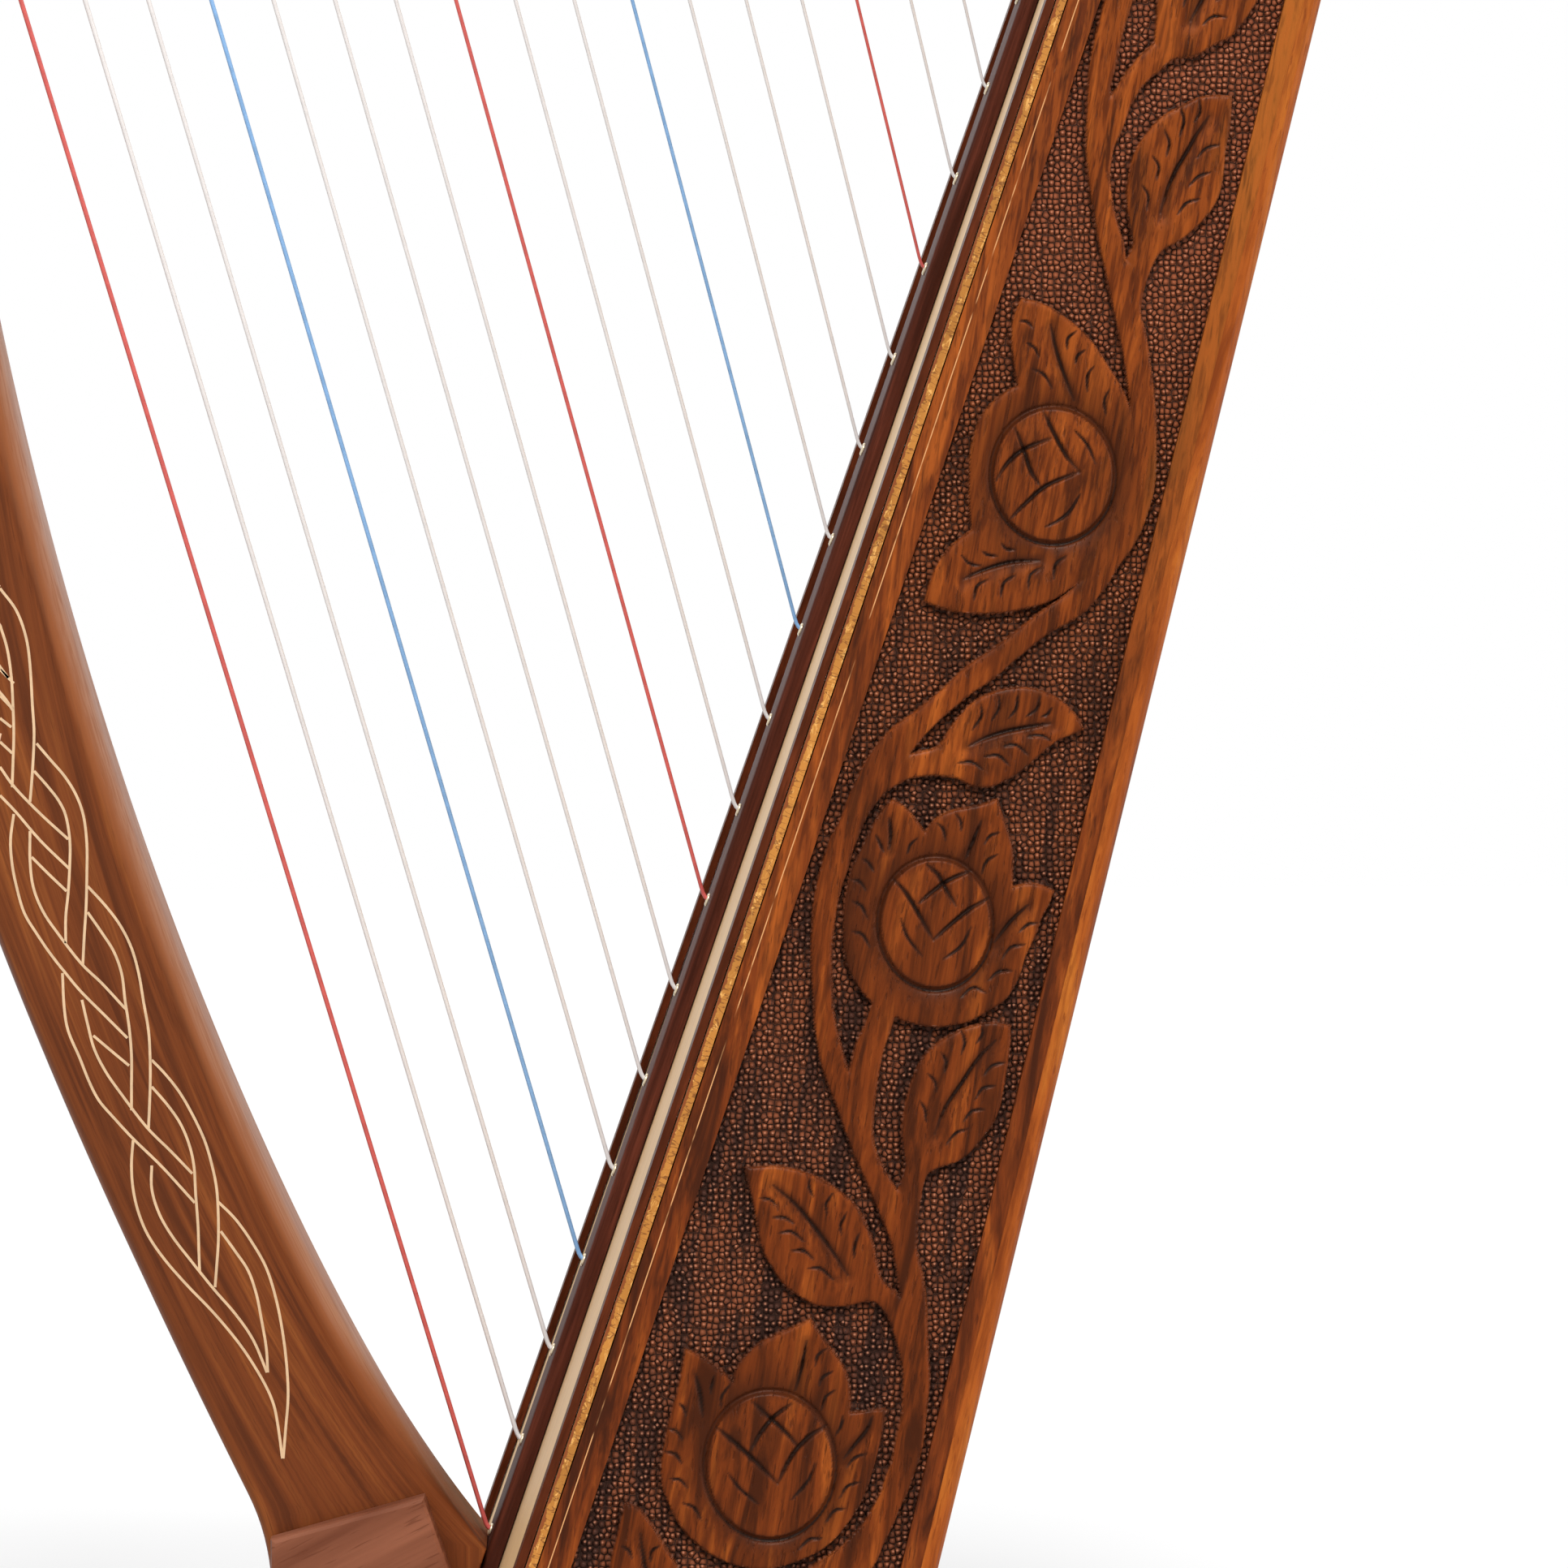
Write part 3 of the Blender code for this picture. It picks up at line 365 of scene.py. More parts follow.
def round_tube(name, points, radii, resolution=3):
    """A mesh tube with closed ends along points, made from a bevelled curve."""
    curve = bpy.data.curves.new(name, "CURVE")
    curve.dimensions = "3D"
    curve.bevel_depth = 1.0
    curve.bevel_resolution = resolution
    curve.use_fill_caps = True
    spline = curve.splines.new("POLY")
    spline.points.add(len(points) - 1)
    for k, (point, radius) in enumerate(zip(points, radii)):
        spline.points[k].co = (*(point + HOME), 1)
        spline.points[k].radius = radius
    holder = bpy.data.objects.new(name, curve)
    bpy.context.scene.collection.objects.link(holder)
    mesh = bpy.data.meshes.new_from_object(
        holder.evaluated_get(bpy.context.evaluated_depsgraph_get()))
    bpy.data.objects.remove(holder)
    bpy.data.curves.remove(curve)
    mesh.name = name
    return mesh


def curve_through(points, steps):
    """A smooth curve through points, its ends included."""
    points = [Vector(p) for p in points]
    last = len(points) - 1
    out = []
    for k in range(last):
        a, b = points[k], points[k + 1]
        before = points[k - 1] if k > 0 else 2 * a - b
        after = points[k + 2] if k + 2 <= last else 2 * b - a
        for s in range(steps):
            u = s / steps
            out.append(0.5 * (2 * a + (b - before) * u + (2 * before - 5 * a + 4 * b - after)
                              * u * u + (3 * a - before - 3 * b + after) * u ** 3))
    return out + [points[last]]


def bezier(a, b, c, d, count):
    shares = [k / (count - 1) for k in range(count)]
    return [(1 - s) ** 3 * a + 3 * (1 - s) ** 2 * s * b + 3 * (1 - s) * s * s * c + s ** 3 * d
            for s in shares]


# Material helpers
def feed(tree, socket, value):
    """Links another socket to this one or sets its value; a colour may come without alpha."""
    if isinstance(value, bpy.types.NodeSocket):
        tree.links.new(value, socket)
    elif socket.type == "RGBA" and len(value) == 3:
        socket.default_value = (*value, 1)
    else:
        socket.default_value = value


def add_node(tree, kind, settings=None, **inputs):
    """Adds a node; inputs are values or sockets, by name with _ for a space, or by number."""
    node = tree.nodes.new(kind)
    for key, value in (settings or {}).items():
        setattr(node, key, value)
    for key, value in inputs.items():
        number = key[1:] if key[0] == "n" and key[1:].isdigit() else None
        feed(tree, node.inputs[int(number) if number else key.replace("_", " ")], value)
    return node


def math_node(tree, operation, a, b=0.0, c=0.0, clamp=False):
    return add_node(tree, "ShaderNodeMath", {"operation": operation, "use_clamp": clamp},
                    n0=a, n1=b, n2=c).outputs[0]


def product(tree, a, b):
    return math_node(tree, "MULTIPLY", a, b)


def distance_from(tree, value, middle):
    return math_node(tree, "ABSOLUTE", math_node(tree, "SUBTRACT", value, middle))


def blend_colours(tree, share, a, b):
    return add_node(tree, "ShaderNodeMix", {"data_type": "RGBA"}, n0=share, n6=a,
                    n7=b).outputs[2]


def spread(tree, value, low, high, to_low=0.0, to_high=1.0):
    """Maps a value softly between two limits."""
    return add_node(tree, "ShaderNodeMapRange", {"interpolation_type": "SMOOTHSTEP"},
                    Value=value, From_Min=low, From_Max=high, To_Min=to_low,
                    To_Max=to_high).outputs[0]


def object_place(tree):
    return tree.nodes.new("ShaderNodeTexCoord").outputs["Object"]


def mapped(tree, vector, settings=None, **inputs):
    return add_node(tree, "ShaderNodeMapping", settings, Vector=vector, **inputs).outputs[0]


def turned_place(tree, lean=0.0, scale=(1, 1, 1)):
    """Object coordinates, turned so that Z follows a lean in the harp's plane, then scaled."""
    turn = mapped(tree, object_place(tree), Rotation=(0, -lean, 0))
    return mapped(tree, turn, Scale=scale)


def noise(tree, vector, scale, detail=3.0, roughness=0.5, distortion=0.0):
    return add_node(tree, "ShaderNodeTexNoise", Vector=vector, Scale=scale, Detail=detail,
                    Roughness=roughness, Distortion=distortion).outputs[0]


def mesh_mask(tree, name):
    """A mask that is kept in an attribute of the mesh."""
    return add_node(tree, "ShaderNodeAttribute", {"attribute_name": name}).outputs["Fac"]


def true_normal(tree):
    return tree.nodes.new("ShaderNodeNewGeometry").outputs["True Normal"]


def split_axes(tree, vector):
    return add_node(tree, "ShaderNodeSeparateXYZ", Vector=vector).outputs


def place_along(tree, place, direction, origin):
    """How far a place lies along a direction, beyond an origin."""
    reach = add_node(tree, "ShaderNodeVectorMath", {"operation": "DOT_PRODUCT"}, n0=place,
                     n1=tuple(direction))
    return math_node(tree, "SUBTRACT", reach.outputs["Value"], origin)


def toned(colour, share):
    return tuple(c * share for c in colour)


def new_group(name, numbers, outputs):
    """An empty node group that takes a vector and named numbers, and puts out numbers."""
    group = bpy.data.node_groups.new(name, "ShaderNodeTree")
    new_socket = group.interface.new_socket
    new_socket(name="Vector", in_out="INPUT", socket_type="NodeSocketVector")
    for label, value in numbers.items():
        socket = new_socket(name=label, in_out="INPUT", socket_type="NodeSocketFloat")
        socket.default_value = value
    for label in outputs:
        new_socket(name=label, in_out="OUTPUT", socket_type="NodeSocketFloat")
    given = group.nodes.new("NodeGroupInput").outputs
    return group, given, group.nodes.new("NodeGroupOutput")


def close_group(group, out, **values):
    for label, value in values.items():
        group.links.new(value, out.inputs[label])
    return group


def use_group(tree, group, **inputs):
    return add_node(tree, "ShaderNodeGroup", {"node_tree": group}, **inputs).outputs


def grain_group():
    """Straight-grained wood: broad streaks, fine lines and open pores, along Z of its vector."""
    group = bpy.data.node_groups.get("Wood Grain")
    if group:
        return group
    group, given, out = new_group("Wood Grain", {"Streak Width": 0.006, "Wander": 1.0},
                                  ("Streaks", "Lines", "Pores", "Height"))

    def drawn_out(share):
        return mapped(group, given["Vector"], Scale=(1, 1, share))

    wide = math_node(group, "DIVIDE", 1.0, given["Streak Width"])
    streaks = noise(group, drawn_out(0.055), wide, 5.0, 0.60, given["Wander"])
    lines = noise(group, drawn_out(0.02), 900.0, 3.0, 0.6, 0.4)
    pores = spread(group, noise(group, drawn_out(0.07), 1500.0, 2.0, 0.5), 0.60, 0.70)
    height = math_node(group, "SUBTRACT", product(group, lines, 0.5), pores)
    return close_group(group, out, Streaks=streaks, Lines=lines, Pores=pores, Height=height)


def pebble_group():
    """Punched ground: small round pebbles with painted shade towards their rims and in the joints
    between them, and a painted highlight on their upper sides, all over a side panel.
    """
    group = bpy.data.node_groups.get("Punched Ground")
    if group:
        return group
    group, given, out = new_group("Punched Ground", {"Pebble Width": 0.0016},
                                  ("Crown", "Top", "Height", "Patches"))
    axes = split_axes(group, given["Vector"])
    flat = add_node(group, "ShaderNodeCombineXYZ", X=axes[0], Y=axes[2]).outputs[0]
    per_metre = math_node(group, "DIVIDE", 1.0, given["Pebble Width"])
    cells, joints = (add_node(group, "ShaderNodeTexVoronoi",
                              {"voronoi_dimensions": "2D", "feature": feature},
                              Vector=flat, Scale=per_metre, Randomness=0.62).outputs
                     for feature in ("F1", "DISTANCE_TO_EDGE"))
    dome = product(group, cells["Distance"], cells["Distance"])
    dome = math_node(group, "MULTIPLY_ADD", dome, -2.9, 1.0, clamp=True)
    patches = noise(group, flat, 55.0, 3.0, 0.6)
    uneven = spread(group, cells["Color"], 0.1, 0.9, 0.35, 1.0)
    height = math_node(group, "MULTIPLY_ADD", patches, 0.8, product(group, dome, uneven))
    # Painted shade: each pebble darker towards its rim and in the joints, and lower pebbles darker.
    crown = product(group, spread(group, joints["Distance"], 0.0, 0.20),
                    spread(group, cells["Distance"], 0.66, 0.30, 0.45, 1.0))
    crown = product(group, crown, math_node(group, "MULTIPLY_ADD", uneven, 0.5, 0.5))
    # Painted highlight on each pebble's upper side: a spot lifted up from the pebble's middle, as
    # light falls from above.
    lifted = add_node(group, "ShaderNodeVectorMath", {"operation": "ADD"}, n0=flat,
                      n1=(0.0, -PEBBLE_SHINE_LIFT, 0.0)).outputs[0]
    apart = add_node(group, "ShaderNodeVectorMath", {"operation": "DISTANCE"}, n0=lifted,
                     n1=cells["Position"]).outputs["Value"]
    top = product(group, spread(group, product(group, apart, per_metre), 0.29, 0.06),
                  spread(group, uneven, 0.50, 0.95))
    return close_group(group, out, Crown=crown, Top=top, Height=height, Patches=patches)


def start_material(name, roughness=0.4, shine=0.15, metallic=0.0):
    """A material with a Principled shader; returns it, its tree and the shader."""
    material = bpy.data.materials.new(name)
    material.use_nodes = True
    tree = material.node_tree
    shader = tree.nodes["Principled BSDF"]
    for label, value in (("Roughness", roughness), ("Metallic", metallic),
                         ("Specular IOR Level", shine), ("Coat Roughness", 0.3)):
        shader.inputs[label].default_value = value
    return material, tree, shader


def finish_surface(tree, shader, colour, height, distance, strength=1.0, roughness=None):
    """Joins a colour and a bump from a height to the shader, and a roughness if there is one."""
    tree.links.new(colour, shader.inputs["Base Color"])
    if roughness is not None:
        tree.links.new(roughness, shader.inputs["Roughness"])
    bump = add_node(tree, "ShaderNodeBump", Height=height, Distance=distance, Strength=strength)
    tree.links.new(bump.outputs[0], shader.inputs["Normal"])


def wood_colours(tree, grain, dark, middle, light, lines=0.50):
    """Streaked wood colour out of a grain group's outputs, with fine lines of some strength."""
    base = blend_colours(tree, spread(tree, grain["Streaks"], 0.34, 0.52), dark, middle)
    base = blend_colours(tree, spread(tree, grain["Streaks"], 0.50, 0.72), base, light)
    share = spread(tree, grain["Lines"], 0.34, 0.62, lines, 0.0)
    base = blend_colours(tree, share, base, dark)
    return blend_colours(tree, product(tree, grain["Pores"], 0.55), base, dark)


def end_grain(tree, vector, lean, colour, dark, middle):
    """Shows rings instead of streaks where the grain meets a face end on."""
    normal = mapped(tree, true_normal(tree), {"vector_type": "VECTOR"}, Rotation=(0, -lean, 0))
    endwise = math_node(tree, "ABSOLUTE", split_axes(tree, normal)[2])
    flat = mapped(tree, vector, Scale=(1, 0.12, 0))
    rings = spread(tree, noise(tree, flat, 420.0, 3.0, 0.6, 0.5), 0.35, 0.65)
    return blend_colours(tree, spread(tree, endwise, 0.55, 0.90), colour,
                         blend_colours(tree, rings, dark, middle))


def wood_material(name, tones, lean=0.0, streak=0.006, roughness=0.42, shine=0.08, lines=0.50,
                  worn=None):
    """Streaked wood of a dark, a middle and a light tone, whose grain leans in the harp's plane.

    With two painted sheen tones its grain follows the mesh's own grain attribute instead, and the
    worn attribute tells where a painted highlight makes the wood paler.
    """
    material, tree, shader = start_material(name, roughness, shine)
    shader.inputs["Specular Tint"].default_value = WARM_SHINE
    if worn:
        vector = add_node(tree, "ShaderNodeAttribute",
                          {"attribute_name": "grain"}).outputs["Vector"]
    else:
        vector = turned_place(tree, lean)
    grain = use_group(tree, grain_group(), Vector=vector, Streak_Width=streak, Wander=0.5)
    colour = wood_colours(tree, grain, *tones, lines)
    if worn:
        # Painted highlight: the inner edge is painted paler where light catches its rounding.
        edge = mesh_mask(tree, "worn")
        colour = blend_colours(tree, spread(tree, edge, 0.05, 0.45, 0.0, 0.85), colour, worn[0])
        pale = blend_colours(tree, spread(tree, grain["Lines"], 0.60, 0.38, 0.0, 0.55), worn[1],
                             worn[0])
        colour = blend_colours(tree, spread(tree, edge, 0.34, 0.86, 0.0, 0.90), colour, pale)
    else:
        colour = end_grain(tree, vector, lean, colour, *tones[:2])
    rough = spread(tree, grain["Streaks"], 0.3, 0.7, roughness - 0.05, roughness + 0.07)
    finish_surface(tree, shader, colour, grain["Height"], GRAIN_RELIEF, 0.6, rough)
    return material


def panel_walnut(tree):
    """Walnut of the side panels, with golden sapwood near the upper back edge."""
    tones = colours()
    vector = turned_place(tree, SIDE_GRAIN_LEAN)
    grain = use_group(tree, grain_group(), Vector=vector, Streak_Width=0.0060)
    colour = wood_colours(tree, grain, tones.walnut_dark, tones.walnut, tones.walnut_light)
    here = object_place(tree)
    along = place_along(tree, here, UP, HOME.dot(UP))
    depth = place_along(tree, here, INWARD, HOME.dot(INWARD))
    rear = math_node(tree, "SUBTRACT",
                     math_node(tree, "MULTIPLY_ADD", along, -DEPTH_TAPER, BOX_DEPTH), depth)
    wavy = math_node(tree, "MULTIPLY_ADD", grain["Streaks"], 0.010, rear)
    gold = product(tree, spread(tree, along, 0.20, 0.46, 0.0, 0.85),
                   spread(tree, wavy, 0.0205, 0.0140))
    gold = product(tree, gold, spread(tree, grain["Lines"], 0.30, 0.55, 0.45, 1.0))
    colour = blend_colours(tree, gold, colour, tones.sapwood)
    warmer = blend_colours(tree, spread(tree, grain["Lines"], 0.40, 0.60), colour,
                           tones.walnut_light)
    colour = blend_colours(tree, spread(tree, along, 0.12, 0.42, 0.0, 0.40), colour, warmer)
    return colour, grain, depth, along


def side_material():
    """Side panels: walnut with a broken pale line let into the front border."""
    material, tree, shader = start_material("Side Walnut", 0.4, 0.07)
    colour, grain, depth, along = panel_walnut(tree)
    line = spread(tree, distance_from(tree, depth, PALE_LINE_DEPTH), 0.00017, 0.00006)
    here = add_node(tree, "ShaderNodeCombineXYZ", X=along)
    gaps = spread(tree, noise(tree, here.outputs[0], 45.0, 3.0, 0.7), 0.42, 0.50)
    colour = blend_colours(tree, product(tree, line, gaps), colour, (0.62, 0.30, 0.12))
    finish_surface(tree, shader, colour, grain["Height"], GRAIN_RELIEF, 0.6)
    return material


def carved_material():
    """Carved field: walnut relief, cuts darkened with painted shade, and a punched ground with
    painted shade and painted highlights.
    """
    tones = colours()
    material, tree, shader = start_material("Carved Walnut", 0.38, 0.08)
    shader.inputs["Specular Tint"].default_value = WARM_SHINE
    colour, grain, _, along = panel_walnut(tree)
    pebbles = use_group(tree, pebble_group(), Vector=object_place(tree),
                        Pebble_Width=sizes().pebble)
    ground, cut, shade = (mesh_mask(tree, name) for name in ("ground", "cut", "shade"))
    streaky = turned_place(tree, SIDE_GRAIN_LEAN, (1, 1, 0.07))
    columns = product(tree, spread(tree, noise(tree, streaky, 300.0, 3.0, 0.6, 0.5), 0.40, 0.56),
                      spread(tree, pebbles["Patches"], 0.30, 0.55, 0.45, 1.0))
    ground_tone_with_painted_light = blend_colours(tree, columns, (0.058, 0.026, 0.020), tones.ground)
    for share, tone in ((spread(tree, along, 0.10, 0.40, 0.05, 0.45), tones.walnut_light),
                        (spread(tree, along, 0.26, 0.36, 0.0, 0.45), (0.450, 0.135, 0.070))):
        ground_tone_with_painted_light = blend_colours(tree, share, ground_tone_with_painted_light, tone)
    # Painted shade between the pebbles.
    ground_tone_with_painted_light = blend_colours(tree, pebbles["Crown"], tones.ground_shade, ground_tone_with_painted_light)
    # Painted highlight on the upper side of the pebbles.
    ground_tone_with_painted_light = blend_colours(tree, product(tree, pebbles["Top"], 0.6), ground_tone_with_painted_light, tones.ground_highlight)
    # Painted shade on the ground at the foot of the relief.
    ground_tone_with_painted_light = blend_colours(tree, shade, ground_tone_with_painted_light, tones.ground_shade)
    # Painted shade on the relief in its hollows and round the discs, and in the cuts; last the
    # ground's own colour with its painted shade and highlights.
    for share, tone in ((shade, tones.walnut_dark), (cut, tones.ground_shade), (ground, ground_tone_with_painted_light)):
        colour = blend_colours(tree, share, colour, tone)
    relief = product(tree, grain["Height"], 0.08)
    height = add_node(tree, "ShaderNodeMix", {"data_type": "FLOAT"}, n0=ground, n2=relief,
                      n3=pebbles["Height"]).outputs[0]
    finish_surface(tree, shader, colour, height, 0.0017)
    return material


def ply_edge(tree, vector, flecks, stretch):
    """Golden ply edge with fine checks, and a dark ragged line along the glue."""
    gold = colours().gold_edge
    squeeze = mapped(tree, vector, Scale=(0.3, 1, 1))
    checks = distance_from(tree, noise(tree, squeeze, 620.0, 2.0, 0.55, 0.5), 0.5)
    depth = place_along(tree, object_place(tree), INWARD, HOME.dot(INWARD) + BOARD_FACE)
    ragged = math_node(tree, "MULTIPLY_ADD", noise(tree, squeeze, 420.0, 4.0, 0.7), -0.0022,
                       math_node(tree, "ADD", depth, 0.00056))
    crack = math_node(tree, "ABSOLUTE", ragged)
    edge = blend_colours(tree, spread(tree, noise(tree, stretch, 90.0, 2.0), 0.35, 0.65),
                         toned(gold, 0.75), gold)
    for share, tone in (
            (spread(tree, flecks, 0.46, 0.34), (0.70, 0.36, 0.10)),
            (spread(tree, checks, 0.030, 0.010, 0.0, 0.7), (0.13, 0.042, 0.013)),
            (spread(tree, ragged, 0.00002, -0.00010), (0.22, 0.058, 0.016)),
            (spread(tree, crack, 0.00010, 0.00003, 0.0, 0.35), (0.060, 0.020, 0.008))):
        edge = blend_colours(tree, share, edge, tone)
    return edge


def ply_material():
    """Soundboard: pale ply with fine lengthwise grain, and golden edges with dark checks."""
    pale = colours().spruce
    material, tree, shader = start_material("Soundboard Ply", 0.45, 0.10)
    vector = turned_place(tree, BOARD_LEAN)
    grain = use_group(tree, grain_group(), Vector=vector, Streak_Width=0.0012, Wander=0.2)
    face = blend_colours(tree, spread(tree, grain["Streaks"], 0.35, 0.65), toned(pale, 0.86), pale)
    stretch = mapped(tree, vector, Scale=(1, 1, 0.30))
    flecks = noise(tree, stretch, 900.0, 4.0, 0.7, 0.8)
    sideways = math_node(tree, "ABSOLUTE", split_axes(tree, true_normal(tree))[1])
    colour = blend_colours(tree, spread(tree, sideways, 0.45, 0.55), face,
                           ply_edge(tree, vector, flecks, stretch))
    finish_surface(tree, shader, colour, flecks, 0.00008, 0.5)
    return material


def plain_material(name, colour, roughness, metallic=0.0, shine=0.3, change=0.12, height=0.4):
    """Metal, nylon or inlay: one colour with a slight unevenness in tone and gloss."""
    material, tree, shader = start_material(name, roughness, shine, metallic)
    cloud = noise(tree, turned_place(tree), 300.0, 4.0, 0.6)
    tone = blend_colours(tree, spread(tree, cloud, 0.35, 0.65), toned(colour, 1 - change),
                         tuple(colour))
    rough = spread(tree, cloud, 0.3, 0.7, roughness * 0.85, roughness * 1.15)
    finish_surface(tree, shader, tone, cloud, 0.00003, height, rough)
    return material


# The vine of the side panels, traced in pixels of the photograph. An outline is a list of
# smooth runs; each run starts where the one before it ended, and the last ends at the start.
VINE = [
    [(1634, -400), (1603, -400), (1606, -360), (1602, -315), (1590, -270), (1562, -230),
     (1520, -195), (1475, -165), (1432, -130), (1400, -90), (1378, -45), (1362, 0), (1355, 25),
     (1349, 50), (1343, 80), (1341, 110), (1340, 140), (1339, 180), (1341, 210), (1345, 240),
     (1350, 270), (1355, 300), (1363, 335), (1368, 360), (1377, 400), (1385, 440), (1391, 480),
     (1393, 504)],
    [(1380, 600), (1350, 680), (1333, 714)],
    [(1310, 735), (1285, 752), (1255, 775), (1225, 798), (1190, 822), (1160, 850), (1130, 875),
     (1100, 897), (1075, 925), (1058, 955), (1045, 985), (1035, 1010), (1025, 1030), (1015, 1060),
     (1008, 1085), (1003, 1110), (1001, 1140), (1000, 1180), (1001, 1210), (1003, 1240),
     (1005, 1270), (1012, 1310), (1022, 1340), (1032, 1365), (1040, 1390), (1052, 1420),
     (1065, 1450), (1078, 1480), (1088, 1505), (1098, 1530), (1103, 1555), (1107, 1575),
     (1109, 1597)],
    [(1085, 1610)],
    [(1095, 1625), (1105, 1655), (1110, 1675), (1113, 1700), (1112, 1740), (1108, 1760),
     (1103, 1780), (1100, 1800), (1092, 1820), (1085, 1840), (1075, 1860), (1062, 1880),
     (1045, 1900), (1025, 1915), (1000, 1932), (955, 1968), (905, 2003), (860, 2030), (800, 2068),
     (740, 2105), (690, 2150)],
    [(750, 2135), (820, 2108), (890, 2075), (950, 2040), (1000, 2000), (1040, 1965), (1075, 1932),
     (1088, 1905), (1100, 1880), (1108, 1860), (1118, 1840), (1127, 1815), (1135, 1790),
     (1140, 1760), (1143, 1730), (1146, 1700), (1145, 1680), (1143, 1640), (1142, 1610),
     (1140, 1590), (1137, 1570), (1133, 1555), (1130, 1540), (1130, 1520), (1131, 1500),
     (1134, 1480), (1138, 1460), (1143, 1446)],
    [(1106, 1466)],
    [(1095, 1450), (1082, 1425), (1076, 1400), (1077, 1370), (1080, 1340), (1085, 1310),
     (1090, 1290), (1097, 1270), (1103, 1250)],
    [(1076, 1232)],
    [(1068, 1260), (1058, 1280), (1052, 1300), (1046, 1320)],
    [(1040, 1300), (1032, 1270), (1027, 1240), (1025, 1200), (1025, 1170), (1028, 1140),
     (1033, 1110), (1038, 1090), (1045, 1070), (1050, 1050), (1058, 1030), (1066, 1010),
     (1075, 995), (1090, 977), (1105, 967), (1120, 959), (1135, 956), (1150, 955)],
    [(1160, 922)],
    [(1140, 925), (1121, 929)],
    [(1140, 905), (1160, 885), (1180, 868), (1200, 852), (1222, 838), (1245, 818), (1270, 797),
     (1285, 785), (1300, 775), (1320, 765), (1335, 755), (1345, 745), (1365, 720), (1380, 695),
     (1395, 675), (1408, 650), (1418, 620), (1424, 590), (1425, 550), (1424, 500), (1418, 450),
     (1412, 410), (1406, 385), (1408, 365), (1413, 345), (1420, 325)],
    [(1388, 320)],
    [(1385, 300), (1379, 280), (1374, 260), (1370, 240), (1368, 220), (1369, 200), (1373, 180),
     (1380, 165), (1388, 145), (1393, 130), (1400, 118), (1408, 105), (1418, 95), (1430, 82),
     (1443, 74)],
    [(1423, 52)],
    [(1413, 61), (1405, 68), (1395, 80), (1385, 92), (1378, 105), (1369, 117)],
    [(1369, 105), (1375, 80), (1381, 50), (1388, 25), (1396, 0), (1405, -30), (1425, -68),
     (1455, -100), (1495, -130), (1540, -160), (1580, -195), (1612, -240), (1630, -290),
     (1636, -340), (1634, -400)],
]

